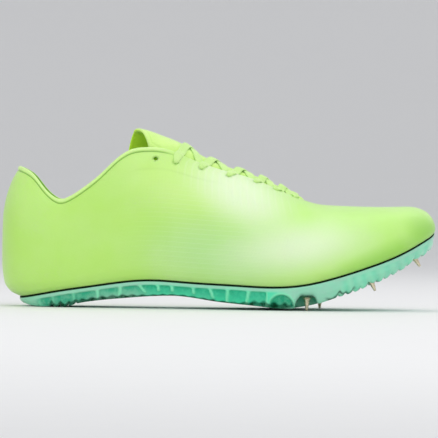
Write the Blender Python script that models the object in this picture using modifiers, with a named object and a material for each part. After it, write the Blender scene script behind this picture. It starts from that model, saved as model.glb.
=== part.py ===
"""Track spike shoe for the right foot, at its real size.

Metres, +Z up, +X towards the toe, +Y towards the inner side of the foot.
The sole line, where upper and sole meet, is the shoe's reference curve. Stations along it
run from 0 at the back of the heel to 1 at the tip of the toe, as shares of SOLE_LENGTH.
"""

import math

import bmesh
import bpy
import numpy as np
from mathutils import Matrix, Vector

# Lengths and widths of the last
SOLE_LENGTH = 0.268
BALL_WIDTH = 0.089
HEEL_OVERHANG = 0.012
SIDE_BULGE = 0.0035

# Heights above the floor
HEEL_SEAT_HEIGHT = 0.0062
ARCH_HEIGHT = 0.0185
BALL_HEIGHT = 0.0152
TOE_SPRING = 0.0515
HEEL_COLLAR_HEIGHT = 0.0905
ANKLE_HEIGHT = 0.0695
INSTEP_HEIGHT = 0.1043
VAMP_HEIGHT = 0.069

# Thicknesses
WALL = 0.0015
BINDING_STEP = 0.0007
BINDING_WIDTH = 0.0026
BOARD_THICKNESS = 0.0012
INSOLE_THICKNESS = 0.003
TONGUE_THICKNESS = 0.002
LACE_THICKNESS = 0.0012

# Clearances between pieces that touch
GAP = 0.0003
INSOLE_CLEARANCE = 0.0008

# Lace and eyelets
LACE_WIDTH = 0.0055
EYELET_RADIUS = 0.0019
EYELET_INSET = 0.0085
CROSSING_LIFT = 0.0008
EDGE_LIFT = 0.0022

# Spike plate
PLATE_PROUD = 0.0003
BOARD_PROUD = 0.0002
PLATE_DRAFT = 0.0022
LIP_HEIGHT = 0.0026
POCKET_DEPTH = 0.0012
POCKET_SILL = 0.0014
HALF_ROUND_SILL = 0.0012
HALF_ROUND_RADIUS = 0.0072
RIB_WIDTH = 0.0017
TREAD_DEPTH = 0.0015
TREAD_PITCH = 0.0049
NOTCH_WIDTH = 0.0160

# Spike pins
PIN_LENGTH = 0.0080
PIN_BASE_RADIUS = 0.0021
PIN_TIP_RADIUS = 0.0007
PIN_FLANGE_RADIUS = 0.0031
PIN_FLANGE_HEIGHT = 0.0009
PIN_STEM_RADIUS = 0.0018
PIN_STEM_LENGTH = 0.0018

# How far cutters reach past the faces that they open
CUTTER_REACH = 0.005

# Fineness of the faceted surfaces
COLUMNS = 44
WALL_ROWS = 9
FINE_ROWS = 48

# Sole line: station, outer edge, inner edge (shares of BALL_WIDTH), height
SOLE_LINE = [
    (0.000, 0.000, 0.000, 1.00 * HEEL_SEAT_HEIGHT),
    (0.018, -0.178, 0.178, 1.12 * HEEL_SEAT_HEIGHT),
    (0.058, -0.275, 0.275, 1.45 * HEEL_SEAT_HEIGHT),
    (0.112, -0.318, 0.316, 0.63 * ARCH_HEIGHT),
    (0.193, -0.333, 0.318, 0.81 * ARCH_HEIGHT),
    (0.310, -0.345, 0.287, 1.00 * ARCH_HEIGHT),
    (0.406, -0.380, 0.282, 0.94 * ARCH_HEIGHT),
    (0.522, -0.444, 0.340, 1.05 * BALL_HEIGHT),
    (0.600, -0.484, 0.410, 1.00 * BALL_HEIGHT),
    (0.677, -0.498, 0.474, 1.09 * BALL_HEIGHT),
    (0.754, -0.468, 0.500, 0.414 * TOE_SPRING),
    (0.832, -0.388, 0.480, 0.544 * TOE_SPRING),
    (0.909, -0.275, 0.425, 0.700 * TOE_SPRING),
    (0.967, -0.125, 0.318, 0.862 * TOE_SPRING),
    (1.000, 0.100, 0.100, 1.000 * TOE_SPRING),
]

# Top edge of the collar: station, outer edge, inner edge (shares of BALL_WIDTH), height
COLLAR = [
    (0.000, 0.000, 0.000, 1.000 * HEEL_COLLAR_HEIGHT),
    (0.019, -0.140, 0.140, 0.973 * HEEL_COLLAR_HEIGHT),
    (0.039, -0.200, 0.200, 0.923 * HEEL_COLLAR_HEIGHT),
    (0.058, -0.240, 0.240, 0.850 * HEEL_COLLAR_HEIGHT),
    (0.077, -0.264, 0.264, 1.035 * ANKLE_HEIGHT),
    (0.097, -0.281, 0.281, 1.000 * ANKLE_HEIGHT),
    (0.116, -0.292, 0.292, 1.020 * ANKLE_HEIGHT),
    (0.155, -0.303, 0.300, 1.118 * ANKLE_HEIGHT),
    (0.193, -0.298, 0.290, 0.826 * INSTEP_HEIGHT),
    (0.232, -0.275, 0.265, 0.924 * INSTEP_HEIGHT),
    (0.251, -0.260, 0.249, 0.960 * INSTEP_HEIGHT),
    (0.273, -0.242, 0.231, 0.985 * INSTEP_HEIGHT),
    (0.305, -0.222, 0.211, 0.994 * INSTEP_HEIGHT),
]

# Edge of the throat: station, outer edge, inner edge (shares of BALL_WIDTH)
THROAT = [
    (0.368, -0.195, 0.184),
    (0.406, -0.175, 0.167),
    (0.484, -0.145, 0.144),
    (0.561, -0.118, 0.124),
    (0.638, -0.080, 0.096),
    (0.677, -0.042, 0.070),
    (0.695, 0.016, 0.016),
]

# Where each column of the upper ends: station on the sole line, station on the top edge
LEAN = [
    (0.00, 0.000),
    (0.06, 0.060),
    (0.22, 0.220),
    (0.37, 0.365),
    (0.50, 0.485),
    (0.61, 0.565),
    (0.71, 0.620),
    (0.81, 0.657),
    (0.90, 0.681),
    (0.97, 0.692),
    (1.00, 0.695),
]

# Ridge over instep and vamp: station, sideways drift (share of BALL_WIDTH), height
RIDGE = [
    (0.270, 0.000, 1.137 * INSTEP_HEIGHT),
    (0.310, 0.000, 1.114 * INSTEP_HEIGHT),
    (0.368, 0.000, 1.050 * INSTEP_HEIGHT),
    (0.406, 0.000, 0.988 * INSTEP_HEIGHT),
    (0.484, 0.000, 0.891 * INSTEP_HEIGHT),
    (0.561, 0.004, 1.240 * VAMP_HEIGHT),
    (0.638, 0.013, 1.100 * VAMP_HEIGHT),
    (0.677, 0.020, 1.035 * VAMP_HEIGHT),
    (0.705, 0.027, 0.998 * VAMP_HEIGHT),
    (0.754, 0.042, 0.977 * VAMP_HEIGHT),
    (0.832, 0.060, 0.970 * VAMP_HEIGHT),
    (0.909, 0.078, 0.974 * VAMP_HEIGHT),
    (0.948, 0.088, 0.972 * VAMP_HEIGHT),
    (0.967, 0.092, 0.950 * VAMP_HEIGHT),
    (0.984, 0.096, 0.905 * VAMP_HEIGHT),
    (1.000, 0.100, 1.000 * TOE_SPRING),
]

# Form of the wall: station, fullness (2 is round, more is squarer), sweep in degrees, bulge
WALL_FORM = [
    (0.000, 2.20, 50, 1.00 * HEEL_OVERHANG),
    (0.018, 2.20, 50, 0.84 * HEEL_OVERHANG),
    (0.058, 2.20, 50, 0.52 * HEEL_OVERHANG),
    (0.112, 2.20, 50, 1.25 * SIDE_BULGE),
    (0.200, 2.25, 52, 1.10 * SIDE_BULGE),
    (0.310, 2.60, 58, 1.00 * SIDE_BULGE),
    (0.406, 2.35, 64, 1.00 * SIDE_BULGE),
    (0.522, 2.25, 70, 1.00 * SIDE_BULGE),
    (0.677, 2.35, 80, 1.00 * SIDE_BULGE),
    (0.754, 2.45, 86, 0.90 * SIDE_BULGE),
    (0.832, 2.55, 90, 0.75 * SIDE_BULGE),
    (0.909, 2.60, 90, 0.60 * SIDE_BULGE),
    (1.000, 2.40, 90, 0.25 * SIDE_BULGE),
]

# How the bulge grows and fades: share of the wall's height, share of the bulge
BULGE_PROFILE = [
    (0.000, 0.00),
    (0.035, 0.50),
    (0.110, 0.86),
    (0.260, 0.99),
    (0.450, 1.00),
    (0.600, 0.98),
    (0.730, 0.86),
    (0.885, 0.52),
    (1.000, 0.06),
]

# Underside of the spike plate: station, height above the floor
UNDERSIDE = [
    (0.000, 0.480 * HEEL_SEAT_HEIGHT),
    (0.018, 0.200 * HEEL_SEAT_HEIGHT),
    (0.045, 0.0),
    (0.105, 0.0),
    (0.155, 0.170 * ARCH_HEIGHT),
    (0.232, 0.310 * ARCH_HEIGHT),
    (0.368, 0.443 * ARCH_HEIGHT),
    (0.484, 0.250 * ARCH_HEIGHT),
    (0.561, 0.180 * BALL_HEIGHT),
    (0.638, 0.070 * BALL_HEIGHT),
    (0.700, 0.220 * BALL_HEIGHT),
    (0.754, 0.152 * TOE_SPRING),
    (0.832, 0.290 * TOE_SPRING),
    (0.909, 0.485 * TOE_SPRING),
    (0.967, 0.670 * TOE_SPRING),
    (1.000, 0.790 * TOE_SPRING),
]

# Tongue: station, half width (share of BALL_WIDTH), how far its sides drop (share of WALL)
TONGUE = [
    (0.250, 0.186, 5.0),
    (0.310, 0.200, 3.0),
    (0.360, 0.236, 0.3),
    (0.420, 0.240, 0.0),
    (0.500, 0.220, 0.0),
    (0.600, 0.186, 0.0),
    (0.680, 0.130, 0.0),
    (0.720, 0.100, 0.0),
]
TONGUE_TOP = 0.288
TONGUE_FRONT = 0.708
TONGUE_SLANT = 0.026

# Eyelet rows by station of the top edge. The first pair stays empty.
EYELET_ROWS = [0.324, 0.372, 0.433, 0.498, 0.565, 0.620, 0.664]

# Ribs on the plate's side and the half-round pocket at the ball, by station
SIDE_RIBS = [0.048, 0.082, 0.132, 0.189, 0.243, 0.297, 0.335, 0.368, 0.419, 0.462, 0.500, 0.549, 0.596]
HALF_ROUND_STATION = 0.630

# Tread grooves across the heel and under the toe, first and last station
HEEL_TREAD = (0.082, 0.155)
TOE_TREAD = (0.765, 0.985)

# Spike pins: name, station, sideways place (share of BALL_WIDTH), how far the pin is sunk.
# A sunk length of None stands the pin upright with its tip on the floor, under an arched
# notch that opens to the sole's edge.
PINS = [
    ("pin_outer_rear", 0.691, -0.395, None),
    ("pin_inner_rear", 0.727, 0.400, None),
    ("pin_outer_middle", 0.849, -0.265, 0.0038),
    ("pin_inner_middle", 0.854, 0.365, 0.0038),
    ("pin_outer_front", 0.956, -0.030, 0.0034),
    ("pin_inner_front", 0.957, 0.215, 0.0034),
]

# Arched notch over a rear pin: half width (share of NOTCH_WIDTH), share of its height
NOTCH_ARCH = [(0.50, -0.12), (0.49, 0.20), (0.43, 0.55), (0.33, 0.86), (0.22, 1.00)]


def curve(rows, column, at):
    """A smooth curve (natural cubic spline) through one column of a table."""
    x = np.array([row[0] for row in rows], float)
    y = np.array([row[column] for row in rows], float)
    step = np.diff(x)
    count = len(x)
    system = np.eye(count)
    right = np.zeros(count)
    for i in range(1, count - 1):
        system[i, i - 1:i + 2] = step[i - 1], 2 * (step[i - 1] + step[i]), step[i]
        right[i] = 6 * ((y[i + 1] - y[i]) / step[i] - (y[i] - y[i - 1]) / step[i - 1])
    bend = np.linalg.solve(system, right)
    at = np.clip(np.asarray(at, float), x[0], x[-1])
    i = np.clip(np.searchsorted(x, at, side="right") - 1, 0, count - 2)
    h = step[i]
    a = (x[i + 1] - at) / h
    b = (at - x[i]) / h
    return a * y[i] + b * y[i + 1] + ((a**3 - a) * bend[i] + (b**3 - b) * bend[i + 1]) * h**2 / 6


def level_curve(rows, column, at):
    """A curve through one column of a table that never overshoots, so that level stays level."""
    x = np.array([row[0] for row in rows], float)
    y = np.array([row[column] for row in rows], float)
    step = np.diff(x)
    rise = np.diff(y) / step
    slope = np.zeros(len(x))
    for i in range(1, len(x) - 1):
        if rise[i - 1] * rise[i] > 0:
            slope[i] = 2 / (1 / rise[i - 1] + 1 / rise[i])
    slope[0], slope[-1] = rise[0], rise[-1]
    at = np.clip(np.asarray(at, float), x[0], x[-1])
    i = np.clip(np.searchsorted(x, at, side="right") - 1, 0, len(x) - 2)
    t = (at - x[i]) / step[i]
    h = step[i]
    return (
        (2 * t**3 - 3 * t**2 + 1) * y[i]
        + (t**3 - 2 * t**2 + t) * h * slope[i]
        + (3 * t**2 - 2 * t**3) * y[i + 1]
        + (t**3 - t**2) * h * slope[i + 1]
    )


def turned(station, end):
    """Share of the half turn round the outline, which makes round ends of a table's curve."""
    return np.arccos(np.clip(1 - 2 * np.asarray(station, float) / end, -1, 1)) / math.pi


def unturned(turn, end):
    """Station of a share of the half turn."""
    return end * (1 - np.cos(np.asarray(turn, float) * math.pi)) / 2


def by_turn(rows, end):
    """The same table with its first column as shares of the half turn."""
    return [(float(turned(row[0], end)),) + tuple(row[1:]) for row in rows]


def side_column(side):
    """Which column of a table holds this side's edge."""
    return 1 if side < 0 else 2


def sole_edge(station, side):
    """Sideways place of the sole line."""
    return BALL_WIDTH * curve(by_turn(SOLE_LINE, 1), side_column(side), turned(station, 1))


def sole_height(station):
    """Height of the sole line above the floor."""
    return curve(by_turn(SOLE_LINE, 1), 3, turned(station, 1))


def ridge(station):
    """Sideways place and height of the ridge over instep and vamp."""
    at = turned(station, 1)
    return BALL_WIDTH * curve(by_turn(RIDGE, 1), 1, at), curve(by_turn(RIDGE, 1), 2, at)


def section_height(station, y, side):
    """Height of the last's section: an arch of the table's fullness from sole line to ridge."""
    middle, top = ridge(station)
    foot = sole_height(station)
    fullness = curve(by_turn(WALL_FORM, 1), 1, turned(station, 1))
    half = np.maximum(np.abs(sole_edge(station, side) - middle), 1e-6)
    share = np.clip(np.abs(y - middle) / half, 0, 1)
    return foot + (top - foot) * (1 - share**fullness) ** (1 / fullness)


def top_edge_rows(side):
    """Collar and throat as one table: turn, sideways place, height."""
    column = side_column(side)
    rows = [(row[0], BALL_WIDTH * row[column], row[3]) for row in COLLAR]
    for row in THROAT:
        y = BALL_WIDTH * row[column]
        rows.append((row[0], y, float(section_height(row[0], y, side))))
    return by_turn(rows, THROAT[-1][0])


def smooth_step(low, high, value):
    """0 below low, 1 above high and a soft change between."""
    t = np.clip((value - low) / (high - low), 0, 1)
    return t * t * (3 - 2 * t)


def place_x(station):
    """Distance along the shoe of a station, with the back of the heel's sole line at 0."""
    return np.asarray(station, float) * SOLE_LENGTH


def outline(turns, side, proud):
    """Plan points of the sole line at shares of the half turn, moved outwards by proud."""
    nudge = 1e-4
    ends = []
    for shift in (-nudge, nudge):
        at = np.asarray(turns, float) + shift
        mirrored = (at < 0) | (at > 1)
        inside = np.where(at < 0, -at, np.where(at > 1, 2 - at, at))
        station = unturned(inside, 1)
        near = np.where(mirrored, sole_edge(station, -side), sole_edge(station, side))
        ends.append(np.stack([place_x(station), near], -1))
    along = ends[1] - ends[0]
    along /= np.linalg.norm(along, axis=-1, keepdims=True)
    outward = np.stack([-along[..., 1] * side, along[..., 0] * side], -1)
    station = unturned(turns, 1)
    middle = np.stack([place_x(station), sole_edge(station, side)], -1)
    return middle + outward * proud, outward


def wall_points(turns, side, shares):
    """Outer face of the upper: one column for each turn, one row for each share of its sweep.

    Behind the instep a wall is an arch cut off at the top edge. In front of it the column
    runs in plan from the sole line to the throat, at the height of the last's section.
    """
    turns = np.asarray(turns, float)[:, None]
    shares = np.asarray(shares, float)[None, :]
    station = unturned(turns, 1)
    foot_x, foot_y, foot_z = place_x(station), sole_edge(station, side), sole_height(station)
    edge_end = THROAT[-1][0]
    edge_turn = turned(curve(LEAN, 1, station), edge_end)
    rows = top_edge_rows(side)
    edge_x = place_x(unturned(edge_turn, edge_end))
    edge_y = curve(rows, 1, edge_turn)
    edge_z = curve(rows, 2, edge_turn)
    at = turned(station, 1)
    fullness = curve(by_turn(WALL_FORM, 1), 1, at)
    sweep = np.radians(np.minimum(curve(by_turn(WALL_FORM, 1), 2, at), 90))
    power = 2 / fullness
    cosine = np.maximum(np.cos(shares * sweep), 0)
    inward = (1 - cosine**power) / (1 - np.maximum(np.cos(sweep), 0) ** power)
    rise = (np.sin(shares * sweep) / np.sin(sweep)) ** power
    front = smooth_step(0.26, 0.42, station)
    inward = (1 - front) * inward + front * (1 - np.cos(shares * math.pi / 2))
    x = foot_x + (edge_x - foot_x) * inward
    y = foot_y + (edge_y - foot_y) * inward
    over = section_height(x / SOLE_LENGTH, y, side)
    z = (1 - front) * (foot_z + (edge_z - foot_z) * rise) + front * over
    climbed = np.clip((z - foot_z) / (edge_z - foot_z), 0, 1)
    bulge = curve(by_turn(WALL_FORM, 1), 3, at) * level_curve(BULGE_PROFILE, 1, climbed)
    _, outward = outline(turns[:, 0], side, 0)
    x = x + outward[:, 0:1] * bulge
    y = y + outward[:, 1:2] * bulge
    return np.stack([x, y, z], -1)


def column_rows(fine, shares, last_distances):
    """Points on each fine column at shares of its length, then at distances below its end."""
    result = []
    for points in fine:
        steps = np.linalg.norm(np.diff(points, axis=0), axis=1)
        length = np.concatenate([[0], np.cumsum(steps)])
        body = length[-1] - last_distances[0]
        at = np.concatenate([np.asarray(shares) * body, length[-1] - np.asarray(last_distances)])
        result.append(np.stack([np.interp(at, length, points[:, k]) for k in range(3)], -1))
    return np.array(result)


def fine_columns(turns, side):
    """Columns with many rows, close together near the sole line where the wall bends most."""
    shares = np.linspace(0, 1, FINE_ROWS) ** 1.3
    return wall_points(turns, side, shares)


def ring_turns(count):
    """Turns and sides of the columns all the way round: outer side to the toe, inner side back."""
    outer = [(i / count, -1) for i in range(count + 1)]
    inner = [(i / count, 1) for i in range(count - 1, 0, -1)]
    return outer + inner


def ring_of(make_side, count):
    """Joins the two sides' columns into one ring."""
    turns = np.linspace(0, 1, count + 1)
    outer = make_side(turns, -1)
    inner = make_side(turns, 1)
    return np.concatenate([outer, inner[1:-1][::-1]], axis=0)


def grid_normals(grid):
    """Unit normals of a grid whose first axis is closed into a ring."""
    around = np.roll(grid, -1, axis=0) - np.roll(grid, 1, axis=0)
    up = np.gradient(grid, axis=1)
    normal = np.cross(around, up)
    return normal / np.linalg.norm(normal, axis=-1, keepdims=True)


def make_material(name, colour, roughness, metallic=0.0):
    """Plain Principled material of a piece."""
    material = bpy.data.materials.new(name)
    material.use_nodes = True
    shader = material.node_tree.nodes["Principled BSDF"]
    shader.inputs["Base Color"].default_value = (*colour, 1)
    shader.inputs["Roughness"].default_value = roughness
    shader.inputs["Metallic"].default_value = metallic
    return material


def add_object(name, vertices, faces, collection, material=None):
    """A mesh object from points and faces, with its faces turned outwards."""
    mesh = bpy.data.meshes.new(name)
    mesh.from_pydata([tuple(map(float, v)) for v in vertices], [], faces)
    work = bmesh.new()
    work.from_mesh(mesh)
    bmesh.ops.recalc_face_normals(work, faces=work.faces)
    work.to_mesh(mesh)
    work.free()
    piece = bpy.data.objects.new(name, mesh)
    collection.objects.link(piece)
    if material:
        mesh.materials.append(material)
    return piece


def ring_faces(around, rows, start=0):
    """Quads of a grid with a closed first axis; vertex (i, j) is start + i * rows + j."""
    faces = []
    for i in range(around):
        k = (i + 1) % around
        for j in range(rows - 1):
            a, b = start + i * rows + j, start + k * rows + j
            faces.append((a, b, b + 1, a + 1))
    return faces


def solid_from_rings(name, rings, cross, bottom_height, top_height, collection, material):
    """A closed solid from rings, first the lowest: side faces, and a floor and a roof.

    Floor and roof are made of rungs from the outer to the inner side, each with the given
    cross shares, and their heights are bottom_height and top_height of (station, y).
    """
    count = (len(rings[0]) + 2) // 2 - 1
    around = len(rings[0])
    grid = np.stack(rings, axis=1)
    rows = grid.shape[1]
    vertices = list(grid.reshape(-1, 3))
    faces = ring_faces(around, rows)
    for row, height in ((0, bottom_height), (rows - 1, top_height)):
        ladder = []
        for i in range(count + 1):
            outer = i * rows + row
            inner = ((around - i) % around) * rows + row
            if i in (0, count):
                ladder.append([outer])
                continue
            rung = [outer]
            for share in cross:
                point = grid[i, row] * (1 - share) + grid[around - i, row] * share
                point = point.copy()
                point[2] = height(point[0] / SOLE_LENGTH, point[2])
                rung.append(len(vertices))
                vertices.append(point)
            rung.append(inner)
            ladder.append(rung)
        for below, above in zip(ladder[:-1], ladder[1:]):
            if len(below) == 1:
                faces += [(below[0], above[k + 1], above[k]) for k in range(len(above) - 1)]
            elif len(above) == 1:
                faces += [(above[0], below[k], below[k + 1]) for k in range(len(below) - 1)]
            else:
                faces += [
                    (below[k], below[k + 1], above[k + 1], above[k]) for k in range(len(above) - 1)
                ]
    return add_object(name, vertices, faces, collection, material)


def level_ring(proud, height, count=COLUMNS):
    """A ring at a distance outside the sole line, at the height of a function of station."""

    def side_points(turns, side):
        plan, _ = outline(turns, side, proud)
        z = height(np.clip(plan[:, 0] / SOLE_LENGTH, 0, 1))
        return np.stack([plan[:, 0], plan[:, 1], z], -1)

    return ring_of(side_points, count)


def apply_boolean(piece, cutter, operation):
    """Adds an exact Boolean modifier named after its cutter."""
    modifier = piece.modifiers.new(cutter.name, "BOOLEAN")
    modifier.operation = operation
    modifier.solver = "EXACT"
    modifier.object = cutter


def hulls(name, point_sets, collection):
    """One cutter object made of a convex hull round each set of points."""
    work = bmesh.new()
    for points in point_sets:
        corners = [work.verts.new(tuple(map(float, p))) for p in points]
        hull = bmesh.ops.convex_hull(work, input=corners)
        extra = set(hull["geom_interior"]) | set(hull["geom_unused"])
        loose = [item for item in extra if isinstance(item, bmesh.types.BMVert)]
        bmesh.ops.delete(work, geom=loose, context="VERTS")
    bmesh.ops.recalc_face_normals(work, faces=work.faces)
    mesh = bpy.data.meshes.new(name)
    work.to_mesh(mesh)
    work.free()
    cutter = bpy.data.objects.new(name, mesh)
    cutter.hide_render = True
    cutter.display_type = "WIRE"
    collection.objects.link(cutter)
    return cutter


def turn_of_top_edge(station):
    """Turn of the column that ends at this station of the top edge."""
    turns = np.linspace(0, 1, 400)
    reached = curve(LEAN, 1, unturned(turns, 1))
    return float(np.interp(station, reached, turns))


def eyelet_frame(station, side):
    """Centre of an eyelet on the upper's outer face and the face's outward normal."""
    turn = turn_of_top_edge(station)
    nudge = 0.004
    columns = fine_columns([turn - nudge, turn, turn + nudge], side)
    rows = column_rows(columns, [0.5], [EYELET_INSET + 0.001, EYELET_INSET, EYELET_INSET - 0.001])
    centre = rows[1, 2]
    normal = np.cross(rows[2, 2] - rows[0, 2], rows[1, 3] - rows[1, 1]) * -side
    return centre, normal / np.linalg.norm(normal)


def upper_rows():
    """Shares of the wall's length for its rows, and the distances of the binding's rows."""
    shares = np.linspace(0, 1, WALL_ROWS) ** 1.35
    return shares, [BINDING_WIDTH + BINDING_STEP, BINDING_WIDTH, BINDING_WIDTH / 2, 0.0]


def upper_shells(count):
    """Outer and inner face of the upper as grids: columns round the shoe, rows up the wall."""
    shares, distances = upper_rows()

    def side_grid(turns, side):
        return column_rows(fine_columns(turns, side), shares[:-1], distances)

    skin = ring_of(side_grid, count)
    normals = grid_normals(skin)
    inside = skin - normals * WALL
    inside[:, 0, 2] = sole_height(np.clip(inside[:, 0, 0] / SOLE_LENGTH, 0, 1))
    stations = unturned([turn for turn, _ in ring_turns(count)], 1)
    raised = BINDING_STEP * (1 - smooth_step(0.33, 0.42, stations))
    outside = skin.copy()
    outside[:, -3:] += normals[:, -3:] * raised[:, None, None]
    return outside, inside


def build_upper(collection, cutters):
    """The upper: a hollow wall, open below and at collar and throat, with a raised binding."""
    outside, inside = upper_shells(COLUMNS)
    around, rows = outside.shape[:2]
    inner = around * rows
    faces = ring_faces(around, rows)
    faces += [tuple(reversed(face)) for face in ring_faces(around, rows, inner)]
    for i in range(around):
        k = (i + 1) % around
        for row in (0, rows - 1):
            a, b = i * rows + row, k * rows + row
            faces.append((a, b, inner + b, inner + a))
    points = np.concatenate([outside.reshape(-1, 3), inside.reshape(-1, 3)])
    material = make_material("upper_mesh", (0.50, 0.82, 0.15), 0.5)
    upper = add_object("upper", points, faces, collection, material)
    holes = []
    for station in EYELET_ROWS:
        for side in (-1, 1):
            centre, normal = eyelet_frame(station, side)
            holes.append(round_points(centre, normal, EYELET_RADIUS, 3 * WALL, 10))
    apply_boolean(upper, hulls("eyelet_cutters", holes, cutters), "DIFFERENCE")
    return upper


def round_points(centre, axis, radius, reach, sides):
    """Corners of a prism round an axis, reaching the same distance to both sides."""
    axis = Vector(axis).normalized()
    across = axis.orthogonal().normalized()
    beside = axis.cross(across)
    points = []
    for end in (-reach, reach):
        for i in range(sides):
            angle = 2 * math.pi * i / sides
            spoke = across * math.cos(angle) + beside * math.sin(angle)
            points.append(Vector(centre) + axis * end + spoke * radius)
    return points


def board_top(station):
    """Upper face of the lasting board, just under the upper's lower edge."""
    return sole_height(station) - GAP


def plate_top(station):
    """Upper face of the spike plate, under the lasting board."""
    return board_top(station) - BOARD_THICKNESS - GAP


def underside(station):
    """Underside of the spike plate."""
    return level_curve(UNDERSIDE, 1, station)


def build_flat_piece(name, proud, bottom, top, collection, material):
    """A sheet that follows the sole line, such as board or insole."""
    rings = [level_ring(proud, bottom), level_ring(proud, top)]
    return solid_from_rings(
        name, rings, [0.5], lambda u, z: z, lambda u, z: z, collection, material
    )


def plate_ring(depth, proud):
    """A ring of the plate's side at a share of its depth below the top."""

    def height(station):
        top = plate_top(station)
        return top + (underside(station) - top) * depth

    return level_ring(proud, height, COLUMNS + 8)


def plate_wall_point(station, side, proud, height):
    """A point on or beside the plate's side wall."""
    plan, _ = outline([float(turned(station, 1))], side, proud)
    return (plan[0, 0], plan[0, 1], height)


def pocket_points(start, end, side):
    """Corners of the pocket between two ribs."""
    inner, outer = PLATE_PROUD - POCKET_DEPTH, PLATE_PROUD + CUTTER_REACH
    points = []
    for station in (start, end):
        high = float(plate_top(station)) - LIP_HEIGHT
        low = float(underside(station)) + POCKET_SILL
        for height in (low, high):
            points.append(plate_wall_point(station, side, inner, height))
            points.append(plate_wall_point(station, side, outer, height))
    return points


def half_round_points(side):
    """Corners of the half-round pocket at the ball."""
    points = []
    floor = float(underside(HALF_ROUND_STATION))
    for proud in (PLATE_PROUD - 2.5 * POCKET_DEPTH, PLATE_PROUD + CUTTER_REACH):
        for i in range(9):
            angle = math.pi * i / 8
            station = HALF_ROUND_STATION + HALF_ROUND_RADIUS * math.cos(angle) / SOLE_LENGTH
            height = floor + HALF_ROUND_SILL + HALF_ROUND_RADIUS * 1.05 * math.sin(angle)
            points.append(plate_wall_point(station, side, proud, height))
    return points


def groove_points(station):
    """Corners of a tread groove across the whole sole."""
    reach = BALL_WIDTH
    slope = float(underside(station + 0.004) - underside(station - 0.004))
    slope /= 0.008 * SOLE_LENGTH
    along = Vector((1, 0, slope)).normalized()
    down = Vector((slope, 0, -1)).normalized()
    face = Vector((float(place_x(station)), 0, float(underside(station))))
    half = TREAD_PITCH * 0.42
    corners = [
        face - down * TREAD_DEPTH,
        face + along * half * 1.4 + down * TREAD_DEPTH * 0.4,
        face - along * half * 1.4 + down * TREAD_DEPTH * 0.4,
    ]
    return [corner + Vector((0, y, 0)) for corner in corners for y in (-reach, reach)]


def tread_stations(first, last):
    """Stations of grooves at the tread's pitch between two stations."""
    count = int((last - first) * SOLE_LENGTH / TREAD_PITCH)
    return [first + i * TREAD_PITCH / SOLE_LENGTH for i in range(count + 1)]


def pin_frame(pin):
    """Seat of a pin and its axis pointing down."""
    _, station, share, sunk = pin
    face = Vector((float(place_x(station)), share * BALL_WIDTH, float(underside(station))))
    if sunk is None:
        return Vector((face.x, face.y, PIN_LENGTH)), Vector((0, 0, -1))
    slope = float(underside(station + 0.02) - underside(station - 0.02)) / (0.04 * SOLE_LENGTH)
    axis = Vector((slope, 0, -1)).normalized()
    return face - axis * sunk, axis


def notch_points(pin):
    """Corners of the recess round a pin's flange, or of the arch that opens to the sole's edge."""
    seat, axis = pin_frame(pin)
    if pin[3] is not None:
        middle = seat + axis * (CUTTER_REACH - PIN_FLANGE_HEIGHT - GAP)
        return round_points(middle, axis, PIN_FLANGE_RADIUS + 2 * GAP, CUTTER_REACH, 12)
    height = PIN_LENGTH + PIN_FLANGE_HEIGHT + GAP
    side = 1 if seat.y > 0 else -1
    points = []
    for y in (seat.y - side * 1.5 * PIN_FLANGE_RADIUS, side * BALL_WIDTH):
        for half, level in NOTCH_ARCH:
            for sign in (-1, 1):
                points.append((seat.x + sign * half * NOTCH_WIDTH, y, level * height))
    return points


def build_plate(collection, cutters):
    """The spike plate: a lofted body with side pockets, tread grooves, notches and pin holes."""
    material = make_material("plate_resin", (0.12, 0.62, 0.44), 0.3)
    profile = [
        (1.00, PLATE_PROUD - PLATE_DRAFT * 1.55),
        (0.88, PLATE_PROUD - PLATE_DRAFT * 0.95),
        (0.55, PLATE_PROUD - PLATE_DRAFT * 0.35),
        (0.20, PLATE_PROUD - PLATE_DRAFT * 0.05),
        (0.00, PLATE_PROUD),
    ]
    rings = [plate_ring(depth, proud) for depth, proud in profile]
    plate = solid_from_rings(
        "spike_plate", rings, [0.12, 0.5, 0.88], lambda u, z: float(underside(u)),
        lambda u, z: float(plate_top(u)), collection, material,
    )
    half_rib = RIB_WIDTH / 2 / SOLE_LENGTH
    pockets = []
    for side in (-1, 1):
        for start, end in zip(SIDE_RIBS[:-1], SIDE_RIBS[1:]):
            pockets.append(pocket_points(start + half_rib, end - half_rib, side))
        pockets.append(half_round_points(side))
    apply_boolean(plate, hulls("pocket_cutters", pockets, cutters), "DIFFERENCE")
    stations = tread_stations(*HEEL_TREAD) + tread_stations(*TOE_TREAD)
    grooves = [groove_points(station) for station in stations]
    apply_boolean(plate, hulls("groove_cutters", grooves, cutters), "DIFFERENCE")
    notches = [notch_points(pin) for pin in PINS]
    apply_boolean(plate, hulls("notch_cutters", notches, cutters), "DIFFERENCE")
    holes = []
    for pin in PINS:
        seat, axis = pin_frame(pin)
        base = seat - axis * PIN_FLANGE_HEIGHT
        radius = PIN_STEM_RADIUS + GAP
        holes.append(round_points(base, axis, radius, PIN_STEM_LENGTH + 2 * GAP, 12))
    apply_boolean(plate, hulls("stem_cutters", holes, cutters), "DIFFERENCE")
    return plate


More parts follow.
